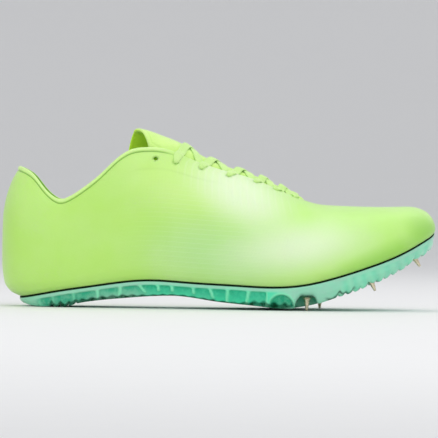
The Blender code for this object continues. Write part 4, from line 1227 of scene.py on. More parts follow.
class UpperForm:
    """Both faces of the upper as rings of columns, with its opened cells and its masks.

    Outer face = skin + relief along the normal, inner face = skin - wall along the normal.
    At the rim the two run together along a quarter circle each.
    """

    COLUMNS = 205
    ROWS = 68

    def __init__(self, last, look):
        skin, turns = upper_skin(last, self.COLUMNS, self.ROWS)
        around, total = skin.shape[:2]
        stations = unturned(np.concatenate([turns, turns[1:-1][::-1]]))
        sides = np.concatenate([np.full(self.COLUMNS + 1, -1), np.full(self.COLUMNS - 1, 1)])
        steps = np.linalg.norm(np.diff(skin, axis=1), axis=2)
        self.run = np.concatenate([np.zeros((around, 1)), np.cumsum(steps, axis=1)], axis=1)
        offset, seam, self.binding = upper_relief(last, look, skin, stations, sides, self.run)
        rim = look.wall / 2
        from_rim = np.maximum(rim - (self.run[:, -1:] - self.run), 0)
        rounding = rim - np.sqrt(np.maximum(rim**2 - from_rim**2, 0))
        normals = ring_normals(skin)
        outside = skin + normals * (offset - rounding)[..., None]
        inside = skin - normals * (look.wall - rounding)[..., None]
        outside[:, 0] = skin[:, 0]
        inside[:, 0, 2] = last.foot(last.station_at(inside[:, 0, 0]))
        self.quads = ring_quads(around, total)
        self.opened, shift, eyelet = cut_eyelets(last, look, skin, self.quads, sides)
        self.skin, self.outside, self.inside = skin, outside + shift, inside + shift
        self.seam = np.clip(seam + 0.6 * eyelet, 0, 1)


def build_upper(last, look):
    """The upper: its two faces, joined round rim, foot and eyelets.

    Its UV map holds the lengths round each row and up each column of the skin.
    """
    form = UpperForm(last, look)
    around, total = form.run.shape
    steps = np.linalg.norm(np.roll(form.skin, -1, axis=0) - form.skin, axis=2)
    round_row = np.concatenate([np.zeros((1, total)), np.cumsum(steps, axis=0)[:-1]])
    uv = np.stack([round_row, form.run], -1).reshape(-1, 2)
    girth = np.broadcast_to(steps.sum(axis=0), (around, total)).ravel()
    points = np.concatenate([form.outside.reshape(-1, 3), form.inside.reshape(-1, 3)])
    faces = shell_faces(form.quads, form.opened)
    used = np.unique(faces)
    renumber = np.zeros(len(points), int)
    renumber[used] = np.arange(len(used))

    def both(outer, inner):
        return np.concatenate([outer, inner])[used]

    seam, plain = form.seam.ravel(), np.zeros(around * total)
    return add_piece(
        "upper_shell", placed(points[used]), renumber[faces], uv=both(uv, uv),
        wrap=both(girth, girth), seam=both(seam, 0.3 * seam),
        binding=both(form.binding.ravel(), plain), lining=both(plain, plain + 0.85),
    )


def plate_top(last, look, x):
    """Upper face of the plate, under board and gaps."""
    return last.foot(last.station_at(x)) - 2 * look.gap - look.board_thickness


def pin_frame(last, look, pin):
    """Seat of a pin and its axis pointing down, as in the plate."""
    _, station, share, sunk = pin
    low = float(last.underside(station))
    seat = np.array([station * last.length, share * last.width, low])
    if sunk == 0:
        return np.array([seat[0], seat[1], look.pin_length]), np.array([0.0, 0.0, -1.0])
    rise = float(last.underside(station + 0.02) - last.underside(station - 0.02))
    axis = unit(np.array([rise / (0.04 * last.length), 0.0, -1.0]))
    return seat - axis * sunk, axis


def tread_grooves(last, look, x, y):
    """Depth (1 + cos(pi distance / half width)) / 2 round each multiple of the tread's pitch.

    The grooves run across the shoe in a slight zigzag.
    """
    zigzag_height, zigzag_length = 0.0007, 0.011
    zigzag = zigzag_height * (2 * np.abs(2 * ((y / zigzag_length) % 1) - 1) - 1)
    half = 0.42 * look.tread_pitch
    deep = 0
    for first, end in (HEEL_TREAD, TOE_TREAD):
        count = np.floor((end - first) * last.length / look.tread_pitch)
        phase = (x + zigzag - first * last.length) / look.tread_pitch
        nearest = np.clip(np.round(phase), 0, count)
        away = np.abs(phase - nearest) * look.tread_pitch
        deep = deep + look.tread_depth * (0.5 + 0.5 * np.cos(math.pi * np.clip(away / half, 0, 1)))
    return deep


def over_upright_pin(look, seat, x, y, low):
    """Underside with the arched notch over a rear pin, cut from the pin out to the side.

    Roof = height of the arch at the distance from the pin, times pin and flange.
    """
    soft = 0.0003
    side = np.sign(seat[1])
    arch = np.array(NOTCH_ARCH)
    roof = np.interp(np.abs(x - seat[0]) / look.notch_width, arch[:, 0], arch[:, 1], right=-1)
    roof = roof * (look.pin_length + look.flange_height + look.gap)
    inner = side * seat[1] - 1.5 * look.pin_flange
    open_here = smooth_step(inner - soft, inner + soft, side * y)
    return np.maximum(low, low + (roof - low) * open_here)


def over_sunk_pin(look, pin, seat, axis, x, y, low):
    """Underside with a soft scoop from a sunk pin out to the edge, and a flat for its flange.

    Scoop = exp(-(along / length)^2 - (outwards / width)^2), the flat square to the pin.
    """
    scoop_length, scoop_width, scoop_depth = 0.0032, 0.004, 0.45 * pin[3]
    flat_radius, round_radius = look.pin_flange + 0.0004, look.pin_flange + 0.0009
    outwards = np.maximum(np.sign(pin[2]) * (seat[1] - y), 0)
    scoop = np.exp(-(((x - seat[0]) / scoop_length) ** 2) - (outwards / scoop_width) ** 2)
    low = low + scoop_depth * scoop
    away = np.hypot(x - seat[0], y - seat[1])
    roof = seat[2] + look.flange_height + look.gap + (x - seat[0]) * -axis[0] / axis[2]
    inside = 1 - smooth_step(flat_radius, round_radius, away)
    return np.where(inside > 0, low + (roof - low) * inside, low)


def tread_height(last, look, x, y):
    """Underside with its tread grooves, and with the notches and recesses of the pins."""
    low = last.underside(last.station_at(x)) + tread_grooves(last, look, x, y)
    for pin in PINS:
        seat, axis = pin_frame(last, look, pin)
        if pin[3] == 0:
            low = over_upright_pin(look, seat, x, y, low)
        else:
            low = over_sunk_pin(look, pin, seat, axis, x, y, low)
    return low


def plate_low(last, look, x, y, top):
    """Underside with its tread, never nearer to the top than the thinnest plate."""
    return np.minimum(tread_height(last, look, x, y), top - PLATE_THINNEST)


def flute_wave(x, z):
    """Flutes of the forefoot: cos(2 pi (x + sway + lean z) / pitch), the sway a slow sine."""
    sway = FLUTE_SWAY * np.sin(x * 2 * math.pi / FLUTE_SWAY_LENGTH)
    return np.cos((x + sway + FLUTE_LEAN * z) * 2 * math.pi / FLUTE_PITCH)


def side_pockets(last, look, x, z, top, low, down):
    """Distance to the nearest rib, and the mask of the pockets between the ribs.

    Pocket: within both the distance to the nearest rib and that to the lip, whose corner
    is rounded. A rib that hangs only part of the way ends in a round tip.
    """
    soft, corner = 0.0004, 0.0016
    rib = np.full(x.shape, 1.0)
    for station, lean, reach in SIDE_RIBS:
        across = x - station * last.length - lean * (down - 0.5)
        past = np.maximum(down - reach, 0) * (top - low) * (reach < 1)
        rib = np.minimum(rib, np.hypot(across, past))
    from_rib = rib - look.rib_width / 2
    from_lip = top - z - look.lip_height
    round_corner = corner - np.hypot(np.maximum(corner - from_rib, 0), np.maximum(corner - from_lip, 0))
    pocket = smooth_step(-soft, soft, np.minimum(round_corner, np.minimum(from_rib, from_lip)))
    return rib, pocket


def side_shade(last, x, z, low):
    """Dark fringe along the lower edge: 1 - soft step of height / (fringe height x ripple).

    In front of the ball it is a wavy band, and between the two a narrow dark flank.
    """
    heel_fringe, waist_drop, ball_rise = 0.0022, 0.0012, 0.0024
    ripple_length, wave_start, wave_length = 0.0065, 0.76 * last.length, 0.0105
    wave_height, band_width, flank_height = 0.0022, 0.0009, 0.0015
    station = x / last.length
    fringe = heel_fringe - waist_drop * smooth_step(0.24, 0.32, station)
    fringe = fringe + ball_rise * smooth_step(0.52, 0.58, station)
    ripple = 1 + 0.25 * np.sin(x * 2 * math.pi / ripple_length)
    shade = 1 - smooth_step(0.6, 1.25, (z - low) / (fringe * ripple))
    shade = shade * smooth_step(0.05, 0.09, station) * (1 - smooth_step(0.64, 0.67, station))
    waves = 0.5 + 0.5 * np.sin((x - wave_start) * 2 * math.pi / wave_length)
    band = bell(z - low - wave_height * waves, band_width) * between(0.730, 0.745, 0.795, 0.815, station)
    flank = between(0.655, 0.668, 0.705, 0.72, station) * bell(z - low, flank_height)
    return shade + band + flank


def side_masks(last, look, x, z, top, low):
    """Masks of the plate's side: pocket, half-round pocket, depth, rib, middle and shade.

    Half round: a disc over the underside. Depth: how deep a teal the pockets are, with painted
    shade under the lip that leaves them paler towards their foot. Rib: bright near a rib and
    round the disc, and a painted highlight on the ridges of the flutes. Middle: the emerald
    between heel and ball, and painted shade in the furrows of the forefoot.
    """
    soft, lip_soft = 0.0004, 0.0006
    disc_floor, disc_stretch, ring_place, ring_width = 0.0008, 1.05, 0.0007, 0.0006
    station = x / last.length
    down = np.clip((top - z) / np.maximum(top - low, 1e-6), 0, 1)
    rib, pocket = side_pockets(last, look, x, z, top, low, down)
    span = (x > SIDE_RIBS[0][0] * last.length) & (x < SIDE_RIBS[-1][0] * last.length)
    pocket = pocket * span * smooth_step(0.0004, 0.0010, z - low)
    floor = last.underside(HALF_ROUND_STATION) + disc_floor
    away = np.hypot(x - HALF_ROUND_STATION * last.length, (z - floor) / disc_stretch)
    disc = 1 - smooth_step(look.half_round - soft, look.half_round + soft / 2, away)
    disc = disc * smooth_step(-soft, soft, z - floor)
    ring = bell(away - look.half_round - ring_place, ring_width) * (z > floor)
    under_lip = smooth_step(look.lip_height - lip_soft, look.lip_height + lip_soft, top - z)
    near_rib = (1 - smooth_step(look.rib_width * 0.25, look.rib_width * 0.75, rib)) * span * under_lip
    heel = between(0.03, 0.06, 0.14, 0.20, station)
    fore = smooth_step(0.735, 0.79, station)
    # Painted light on the forefoot's flutes: a painted highlight on their ridges in rib, painted shade in
    # their furrows in middle
    flute_lit_ridge = (0.5 + 0.5 * flute_wave(x, z)) * under_lip
    middle = between(0.26, 0.33, 0.60, 0.65, station)
    middle = middle * smooth_step(look.lip_height - 0.0012, look.lip_height + 0.0008, top - z)
    middle = middle + 0.38 * fore * under_lip * (1 - flute_lit_ridge)
    # Painted shade under the lip: the pockets' teal is deepest at their top and paler towards their foot
    depth = pocket * (0.92 - 0.62 * smooth_step(0.30, 0.85, down) * (1 - heel))
    depth = np.maximum(depth, np.maximum(disc, 0.8 * heel * under_lip))
    rib = np.clip(near_rib * (1 - 0.65 * heel) + ring + 0.36 * fore * flute_lit_ridge, 0, 1)
    return pocket, disc, depth, rib, middle, side_shade(last, x, z, low)


def build_plate(last, look):
    """The spike plate: a side with lip, ribs and pockets, and an underside with tread.

    Side point = outline moved out by the profile's proud distance and in by the pocket's
    depth, at a share of the height between the top and the treaded underside. Soft flutes
    run down the forefoot: depth (1 - flute wave) / 2, fading in below the lip.
    """
    columns, rows, underside_points = 380, 30, 72
    edge_round, border, flute_depth = 0.0003, 0.0012, 0.00045
    turns = even_turns(last, columns)
    down = np.linspace(0, 1, rows)
    profile = np.array(PLATE_PROFILE)
    run_in = look.plate_draft * np.interp(down, profile[:, 0], profile[:, 1])
    top_edge = edge_round * np.clip(1 - down / 0.05, 0, 1) ** 2
    proud = look.plate_proud - run_in - top_edge
    masks = {}

    def side(turns, side):
        plan, outward = last.outline(turns, side, 0 * turns)
        flat = plan[:, None] + outward[:, None] * proud[None, :, None]
        x = flat[..., 0]
        top = plate_top(last, look, x)
        low = plate_low(last, look, x[:, -1:], flat[:, -1:, 1], top)
        z = top + (low - top) * down[None, :]
        pocket, disc, *shown = side_masks(last, look, x, z, top, low)
        inward = np.maximum(look.pocket_depth * pocket, 2.5 * look.pocket_depth * disc)
        inward *= smooth_step(0.0, border, z - low) * smooth_step(0, 0.001, top - z)
        flute = (0.5 - 0.5 * flute_wave(x, z)) * smooth_step(0.735, 0.79, x / last.length)
        below_lip = smooth_step(look.lip_height * 0.5, look.lip_height * 1.6, top - z)
        inward += flute_depth * flute * below_lip
        flat = flat - outward[:, None] * inward[..., None]
        masks[side] = np.stack(shown, -1)
        return np.concatenate([flat, z[..., None]], -1)

    def top_face(points):
        points[..., 2] = plate_top(last, look, points[..., 0])
        return points

    def underside(points):
        x, y = points[..., 0], points[..., 1]
        points[..., 2] = plate_low(last, look, x, y, plate_top(last, look, x))
        return points

    grid = ring_of(side, turns)
    marks = np.concatenate([masks[-1], masks[1][1:-1][::-1]])
    across = np.linspace(0, 1, underside_points + 2)[1:-1]
    points, quads, triangles = ring_solid(grid, (np.array([0.2, 0.5, 0.8]), across), top_face, underside)
    on_side = grid.shape[0] * grid.shape[1]
    extra = np.zeros((len(points) - on_side, 4))
    pocket, rib, middle, shade = np.concatenate([marks.reshape(-1, 4), extra]).T
    # Painted shade under the plate: the underside takes the pockets' deep teal, deeper where it is set
    # further in
    inset = points[:, 2] - last.underside(last.station_at(points[:, 0]))
    pocket = pocket + (np.arange(len(points)) >= on_side) * np.clip(0.35 + inset / 0.003, 0, 0.9)
    return add_piece(
        "spike_plate_resin", placed(points), quads, triangles,
        pocket=pocket, rib=rib, middle=middle, shade=np.clip(shade, 0, 1),
    )


def build_sheet(last, name, proud, low, high, crown):
    """A sheet that follows the sole line, with a rounded edge: board or insole.

    Edge = half circle between the lower and upper face, both at a height over the foot. The
    upper face dips between its edges: crown (1 - s^6), s from edge to edge.
    """
    columns, upper_points = 240, 24
    turns = even_turns(last, columns)
    angles = np.linspace(-math.pi / 2, math.pi / 2, 9)
    half = (high - low) / 2
    shares = np.linspace(0, 1, upper_points + 2)[1:-1]

    def side(turns, side):
        plan, outward = last.outline(turns, side, 0 * turns)
        out = proud - half + half * np.cos(angles)
        flat = plan[:, None] + outward[:, None] * out[None, :, None]
        foot = last.foot(last.station_at(flat[..., 0]))
        z = foot + (low + high) / 2 + half * np.sin(angles)[None, :]
        return np.concatenate([flat, z[..., None]], -1)

    def lower_face(points):
        points[..., 2] = last.foot(last.station_at(points[..., 0])) + low
        return points

    def upper_face(points):
        dip = crown * (1 - (2 * shares[None, :] - 1) ** 6)
        points[..., 2] = last.foot(last.station_at(points[..., 0])) + high - dip
        return points

    cross = (np.array([0.25, 0.5, 0.75]), shares)
    points, quads, triangles = ring_solid(ring_of(side, turns), cross, lower_face, upper_face)
    zero = np.zeros(len(points))
    return add_piece(name, placed(points), quads, triangles, uv=points[:, :2], seam=zero, lining=zero)


def tongue_faces(last, look):
    """Outer and inner face of the tongue as grids, their plan points and the hem's mask.

    Both faces follow the last's section, a wall and two gaps below it. Half thickness =
    thickness / 2 (1 - (1 - d)^2)^(1/2), d the distance from the border in rounding widths.
    The outer face swells by the crown between the edges of the throat.
    """
    columns, rows, reach = 61, 120, 0.98 * math.pi / 2
    clearance, rounding = 0.0006, 0.0011
    hem_place, hem_width, hem_depth = 0.0030, 0.0004, 0.0002
    shares = np.sin(np.linspace(-1, 1, columns) * reach) / math.sin(reach)
    lengths = (1 - np.cos(np.linspace(0, 1, rows) * math.pi)) / 2
    s, t = np.meshgrid(shares, lengths, indexing="xy")
    top = TONGUE_TOP - TONGUE_SLANT * s
    station = top + (TONGUE_FRONT - top) * t
    middle, _ = last.ridge(station)
    half = last.width * curve(TONGUE, 1, station)
    drop = look.wall * curve(TONGUE, 2, station) * np.abs(s) ** 3
    corner = 1 - 0.10 * smooth_step(0.93, 1.0, 1 - t) * s**2
    x = station * last.length
    y = middle + half * s * corner
    to_side = (1 - np.abs(s)) * half
    to_top = (station - top) * last.length
    to_front = (TONGUE_FRONT - station) * last.length
    near = np.minimum(np.minimum(to_side, to_top), to_front)
    body = look.tongue_thickness / 2
    thick = body * np.sqrt(np.clip(1 - (1 - np.clip(near / rounding, 0, 1)) ** 2, 0.0, 1))
    hem = bell(near - hem_place, hem_width)
    sheet, normals = last.over(x, y, -(look.wall + clearance) - body + 0 * x)
    sheet[..., 2] -= drop
    edge_turn = turned(station, THROAT[-1][0])
    inner_edge, outer_edge = (curve(last.top_rows[side], 1, edge_turn) for side in (1, -1))
    within = smooth_step(-0.0005, 0.006, np.minimum(inner_edge - y, y - outer_edge))
    swell = between(0.335, 0.40, 0.675, 0.70, station)
    crown = look.tongue_crown * (1 + 0.6 * smooth_step(0.50, 0.62, station)) * within * swell
    outside = sheet + normals * (thick + crown - hem_depth * hem)[..., None]
    inside = sheet - normals * thick[..., None]
    return outside, inside, np.stack([x, y], -1), hem


def build_tongue(last, look):
    """The tongue: an arched padded sheet under the throat, its two faces joined at the border."""
    outside, inside, plan, hem = tongue_faces(last, look)
    rows, across = hem.shape
    count = rows * across
    quads = [ring_quads(rows, across, 0, False), ring_quads(rows, across, count, False)[:, ::-1]]
    border = np.concatenate([
        np.arange(across - 1),
        np.arange(rows - 1) * across + across - 1,
        (rows - 1) * across + np.arange(across - 1, 0, -1),
        np.arange(rows - 1, 0, -1) * across,
    ])
    after = np.roll(border, -1)
    quads.append(np.stack([after, border, border + count, after + count], -1))
    points = np.concatenate([outside.reshape(-1, 3), inside.reshape(-1, 3)])
    uv = plan.reshape(-1, 2)
    seam, plain = np.clip(0.25 * hem, 0, 1).ravel(), np.zeros(count)
    return add_piece(
        "tongue_cloth", placed(points), np.concatenate(quads), uv=np.concatenate([uv, uv]),
        seam=np.concatenate([seam, plain]), lining=np.concatenate([plain, plain + 0.9]),
    )


def pin_profile(look):
    """Outline of a pin from the stem's end to the tip: radius, height over the seat."""
    base, tip, long = look.pin_base, look.pin_tip, look.pin_length
    flange, high = look.pin_flange, look.flange_height
    taper = base - tip
    stem = 0.0018
    return np.array([
        (0.0, -high - 0.0018), (stem - 0.0002, -high - 0.0018), (stem, -high - 0.0016),
        (stem, -high + 0.0003), (flange - 0.0002, -high + 0.0003), (flange, -high + 0.0005),
        (flange, -0.0001), (flange - 0.0002, 0.0001), (base + 0.0005, 0.0002),
        (base + 0.0001, 0.0005), (base - 0.0001, 0.0010),
        (base - 0.25 * taper, 0.25 * long), (base - 0.5 * taper, 0.5 * long),
        (base - 0.75 * taper, 0.75 * long), (tip + 0.0001, long - 0.0004),
        (tip, long - 0.00015), (tip - 0.0002, long), (0.0, long),
    ])


def build_pins(last, look):
    """The spike pins: a turned profile of stem, flange, fillet and cone, once for each seat.

    Point = seat + radius (across cos a + beside sin a) + axis height. One vertex closes
    each end.
    """
    around = 32
    profile = pin_profile(look)
    body = profile[1:-1]
    rows = len(body)
    angle = np.arange(around) * 2 * math.pi / around
    points, quads, triangles, uv = [], [], [], []
    start = 0
    for pin in PINS:
        seat, axis = pin_frame(last, look, pin)
        across = unit(np.cross(axis, [0.0, 1.0, 0.0]))
        beside = np.cross(axis, across)
        spoke = np.cos(angle)[:, None] * across + np.sin(angle)[:, None] * beside
        grid = seat + spoke[:, None] * body[None, :, :1] + axis * body[None, :, 1:]
        points += [grid.reshape(-1, 3), seat + axis * profile[[0, -1], 1:]]
        quads.append(ring_quads(around, rows, start))
        stem_end = start + around * rows
        ring = start + np.arange(around) * rows
        after = np.roll(ring, -1)
        triangles.append(np.stack([np.full(around, stem_end), after, ring], -1))
        ring, after = ring + rows - 1, after + rows - 1
        triangles.append(np.stack([np.full(around, stem_end + 1), ring, after], -1))
        run = np.broadcast_to(body[:, 1], (around, rows))
        turn = np.broadcast_to(angle[:, None] * look.pin_base, (around, rows))
        uv.append(np.concatenate([np.stack([turn, run], -1).reshape(-1, 2), np.zeros((2, 2))]))
        start = stem_end + 2
    return add_piece(
        "spike_pins", placed(np.concatenate(points)), np.concatenate(quads),
        np.concatenate(triangles), uv=np.concatenate(uv),
    )


def surface_tree(*grids):
    """A search tree over open grids, for heights under the lace."""
    points, faces, start = [], [], 0
    for grid in grids:
        rows, columns = grid.shape[:2]
        points.append(grid.reshape(-1, 3))
        faces.append(ring_quads(rows, columns, start, False))
        start += rows * columns
    return BVHTree.FromPolygons(np.concatenate(points).tolist(), np.concatenate(faces).tolist())


def lace_over(tree, start, finish, count):
    """Heights and normals of what lies under a straight run seen from above."""
    shares = np.linspace(0, 1, count)[:, None]
    plan = start[:2] * (1 - shares) + finish[:2] * shares
    heights, normals = [], []
    for x, y in plan:
        place, normal, _, _ = tree.ray_cast(Vector((x, y, 0.3)), Vector((0, 0, -1)))
        heights.append(place.z)
        normals.append(normal if normal.z > 0 else -normal)
    return plan, np.array(heights), np.array([tuple(normal) for normal in normals])


def soften(values, passes):
    """Averages neighbours along the first axis, the ends held."""
    values = values.copy()
    for _ in range(passes):
        values[1:-1] = (values[:-2] + 2 * values[1:-1] + values[2:]) / 4
    return values


def lace_ribbon(path, normals, width, thickness, run):
    """Ribbon with rounded edges: section (w/2 cos^0.6, t/2 sin^0.8) carried along the path."""
    along = unit(np.gradient(path, axis=0))
    across = unit(np.cross(normals, along))
    up = unit(np.cross(along, across))
    angle = np.linspace(0, 2 * math.pi, 17)[:-1]
    wide = np.sign(np.cos(angle)) * np.abs(np.cos(angle)) ** 0.6
    high = np.sign(np.sin(angle)) * np.abs(np.sin(angle)) ** 0.8
    grid = (
        path[:, None]
        + across[:, None] * (width[:, None] * wide / 2)[..., None]
        + up[:, None] * (thickness[:, None] * high / 2)[..., None]
    )
    sides = len(angle)
    quads = ring_quads(len(path), sides, 0, False)
    i = np.arange(len(path) - 1)
    closing = np.stack([i * sides + sides - 1, (i + 1) * sides + sides - 1, (i + 1) * sides, i * sides], -1)
    points = np.concatenate([grid.reshape(-1, 3), path[:1], path[-1:]])
    tips = []
    for ring, tip in ((0, len(points) - 2), (len(path) - 1, len(points) - 1)):
        a = ring * sides + np.arange(sides)
        tips.append(np.stack([np.full(sides, tip), a, np.roll(a, -1)], -1))
    half = width[:, None] / 2 * wide
    long = np.broadcast_to(run[:, None], half.shape)
    flat = np.stack([long, half + (np.sin(angle) < 0) * 0.02], -1).reshape(-1, 2)
    uv = np.concatenate([flat, np.zeros((2, 2))])
    return points, np.concatenate([quads, closing]), np.concatenate(tips), uv


def lace_runs(last, look):
    """The lace's runs: first eyelet, far eyelet, 1 where it lies on top, and its dive.

    Each eyelet sends one run to the far side, one row nearer the toe, where it dives under
    the throat's edge. A bar, which doesn't dive, joins the two front eyelets.
    """
    rows = []
    for station, share in EYELET_ROWS[1:]:
        inset = share * look.eyelet_inset
        rows.append((inset, {side: eyelet_frame(last, station, side, inset) for side in (-1, 1)}))
    runs = []
    for (_, near), (inset, far) in zip(rows[:-1], rows[1:]):
        for side, on_top in ((-1, 1), (1, 0)):
            runs.append((near[side], far[-side], on_top, inset - 0.0008))
    front = rows[-1][1]
    runs.append((front[-1], front[1], 0, 0.0))
    return runs


def through_eyelet(eyelet, look):
    """Points and normals of the lace on its way out through an eyelet."""
    centre, normal, to_edge = eyelet
    wall = look.wall
    points = [
        centre - normal * (wall + 0.0016) + to_edge * 0.0012,
        centre - normal * (wall + 0.0004),
        centre - normal * wall * 0.4 - to_edge * 0.0001,
        centre + normal * 0.0004 + to_edge * 0.0002,
    ]
    normals = [-to_edge, -to_edge, unit(-to_edge + 0.3 * normal), unit(normal - to_edge)]
    return np.array(points), np.array(normals)


def lace_path(tree, look, lace, run):
    """Path and normals of one run, from inside its eyelet to under the far edge.

    Height = surface below, smoothed so that the lace lies taut, + a hump over the strand
    that it crosses - the dive. A run that doesn't dive goes in through the far eyelet.
    """
    samples, joined = 46, 3
    eyelet, (far, far_normal, far_edge), on_top, dives = run
    plan, heights, normals = lace_over(tree, eyelet[0], far + far_edge * dives, samples)
    normals = unit(soften(normals, 10))
    z = soften(np.maximum(heights, soften(heights, 30)), 3) + lace.thickness / 2 * 1.15
    shares = np.linspace(0, 1, samples)
    crossing = 0.47 if dives else 0.5
    z = z + on_top * lace.thickness * 1.05 * bell(shares - crossing, 0.12)
    if dives:
        z = z - (lace.thickness * 1.1 + look.wall) * smooth_step(0.90, 1.0, shares)
    way_out, out_normals = through_eyelet(eyelet, look)
    path = np.concatenate([way_out, np.column_stack([plan, z])[joined:]])
    normals = np.concatenate([out_normals, normals[joined:]])
    if dives:
        under = path[-1] - far_edge * 0.004 - far_normal * 0.0006
        return np.concatenate([path, under[None]]), np.concatenate([normals, normals[-1:]])
    way_in, in_normals = through_eyelet((far, far_normal, far_edge), look)
    path = np.concatenate([path[:-joined], way_in[::-1]])
    return path, np.concatenate([normals[:-joined], in_normals[::-1]])


def build_laces(last, look, lace):
    """The lace: ribbons from eyelet to eyelet, pinched to the width of an eyelet at their ends.

    Each path is resampled to equal lengths. It lies on the outer faces of upper and tongue.
    """
    run_points, top_rows = 64, 40
    narrow, full = 0.0035, 0.0085
    upper = UpperForm(last, look).outside
    front = slice(int(len(upper) * 0.10), int(len(upper) * 0.90))
    tree = surface_tree(upper[front, -top_rows:], tongue_faces(last, look)[0])
    points, quads, triangles, uvs, start = [], [], [], [], 0
    for run in lace_runs(last, look):
        path, normals = lace_path(tree, look, lace, run)
        lengths = run_along(path)
        even = np.linspace(0, lengths[-1], run_points)
        normals = unit(at_lengths(normals, lengths, even))
        path = soften(at_lengths(path, lengths, even), 2)
        pinch = 1 - smooth_step(narrow, full, even)
        if not run[-1]:
            pinch = np.maximum(pinch, 1 - smooth_step(narrow, full, lengths[-1] - even))
        width = lace.width * (1 - 0.42 * pinch)
        thickness = lace.thickness * (1 + 0.35 * pinch)
        made, made_quads, made_triangles, uv = lace_ribbon(path, normals, width, thickness, even)
        points.append(made)
        quads.append(made_quads + start)
        triangles.append(made_triangles + start)
        uvs.append(uv)
        start += len(made)
    return add_piece(
        "lace", placed(np.concatenate(points)), np.concatenate(quads), np.concatenate(triangles),
        uv=np.concatenate(uvs), seam=np.zeros(start), lining=np.zeros(start),
    )


def build_floor():
    """Round studio floor: flat to its radius, then rising in an arc of a circle.

    Point = (r cos a, r sin a, h), and on the arc r = radius + bend sin t, h = bend (1 - cos t).
    It lies a fifth of a millimetre under z 0, clear of the faces that stand there.
    """
    spokes, flat_rings, arc_rings = 48, 14, 9
    radius, bend, clearance = 4.0, 2.0, 0.0002
    rise = np.linspace(0.15, 1.4, arc_rings)
    out = np.concatenate([np.linspace(0.02, radius, flat_rings), radius + np.sin(rise) * bend])
    height = np.concatenate([np.zeros(flat_rings), bend * (1 - np.cos(rise))])
    rings = len(out)
    angle = np.arange(spokes) * 2 * math.pi / spokes
    grid = np.stack([
        np.cos(angle)[:, None] * out, np.sin(angle)[:, None] * out,
        np.broadcast_to(height - clearance, (spokes, rings)),
    ], -1)
    points = np.concatenate([grid.reshape(-1, 3), [[0, 0, -clearance]]])
    hub = np.arange(spokes) * rings
    middle = np.stack([np.full(spokes, spokes * rings), hub, np.roll(hub, -1)], -1)
    floor = add_piece("studio_floor", points, ring_quads(spokes, rings), middle)
    if floor.data.polygons[len(floor.data.polygons) - 1].normal.z < 0:
        floor.data.flip_normals()
    return floor


def add_softbox(name, place, target, width, height, power):
    """A rectangular area light that faces its target."""
    light = bpy.data.lights.new(name, "AREA")
    light.shape = "RECTANGLE"
    light.size, light.size_y = width, height
    light.energy = power
    lamp = bpy.data.objects.new(name, light)
    lamp.location = place
    aim = Vector(target) - Vector(place)
    lamp.rotation_euler = aim.to_track_quat("-Z", "Y").to_euler()
    bpy.context.scene.collection.objects.link(lamp)


class SHOE_OT_camera(bpy.types.Operator):
    """Places the camera for the shoe's outer side"""

    bl_idname = "shoe.camera"
    bl_label = "Camera"

    def execute(self, context):
        stage = context.scene.shoe_stage
        camera = bpy.data.cameras.new("side_camera")
        camera.lens = stage.lens
        camera.clip_start = 0.05
        camera.clip_end = 50.0
        away = stage.view_width * stage.lens / camera.sensor_width
        seat = bpy.data.objects.new("side_camera", camera)
        tilt = Matrix.Rotation(math.pi / 2 - stage.elevation, 4, "X")
        roll = Matrix.Rotation(stage.roll, 4, "Z")
        back = Vector((0, -math.cos(stage.elevation), math.sin(stage.elevation))) * away
        target = Vector((0, 0, stage.view_height))
        seat.matrix_world = Matrix.Translation(target + back) @ tilt @ roll
        context.scene.collection.objects.link(seat)
        context.scene.camera = seat
        return {"FINISHED"}


class SHOE_OT_upper(bpy.types.Operator):
    """Builds the woven upper"""

    bl_idname = "shoe.upper"
    bl_label = "Upper"

    def execute(self, context):
        look = context.scene.shoe_upper
        upper = build_upper(Last(context.scene.shoe_last), look)
        finish_piece(upper, upper_material(look), "upper_mesh", "upper")
        return {"FINISHED"}


class SHOE_OT_tongue(bpy.types.Operator):
    """Builds the padded tongue"""

    bl_idname = "shoe.tongue"
    bl_label = "Tongue"

    def execute(self, context):
        look = context.scene.shoe_upper
        tongue = build_tongue(Last(context.scene.shoe_last), look)
        cloth = cloth_material(
            "tongue_cloth", look.colour_tongue, look.colour_lining, look.colour_back_and_light,
            spacing=0.0008, depth=0.00010,
        )
        finish_piece(tongue, cloth, "tongue_cloth", "tongue")
        return {"FINISHED"}


class SHOE_OT_lace(bpy.types.Operator):
    """Builds the lace that is threaded through the eyelets"""

    bl_idname = "shoe.lace"
    bl_label = "Lace"

    def execute(self, context):
        scene = context.scene
        look, lace = scene.shoe_upper, scene.shoe_lace
        laces = build_laces(Last(scene.shoe_last), look, lace)
        woven = cloth_material(
            "lace_cloth", lace.colour_lace, look.colour_seam, look.colour_seam,
            spacing=0.0006, depth=0.00012,
        )
        finish_piece(laces, woven, "lace_cloth", "laces")
        return {"FINISHED"}


class SHOE_OT_insole(bpy.types.Operator):
    """Builds the padded insole, whose edge is pressed a little into the lining"""

    bl_idname = "shoe.insole"
    bl_label = "Insole"

    def execute(self, context):
        look = context.scene.shoe_upper
        pressed = 0.0009
        insole = build_sheet(
            Last(context.scene.shoe_last), "insole_foam", proud=pressed - look.wall, low=0.0,
            high=look.insole_thickness, crown=0.0005,
        )
        foam = cloth_material(
            "insole_foam", look.colour_heel, look.colour_lining, look.colour_lining,
            spacing=0.0011, depth=0.00012,
        )
        finish_piece(insole, foam, "insole_foam", "insole")
        return {"FINISHED"}


class SHOE_OT_board(bpy.types.Operator):
    """Builds the lasting board between upper and plate"""

    bl_idname = "shoe.board"
    bl_label = "Lasting Board"

    def execute(self, context):
        look = context.scene.shoe_sole
        board = build_sheet(
            Last(context.scene.shoe_last), "board_edge", proud=0.0002,
            low=-look.gap - look.board_thickness, high=-look.gap, crown=0.0,
        )
        finish_piece(board, board_material(look), "board_edge", "lasting_board")
        return {"FINISHED"}


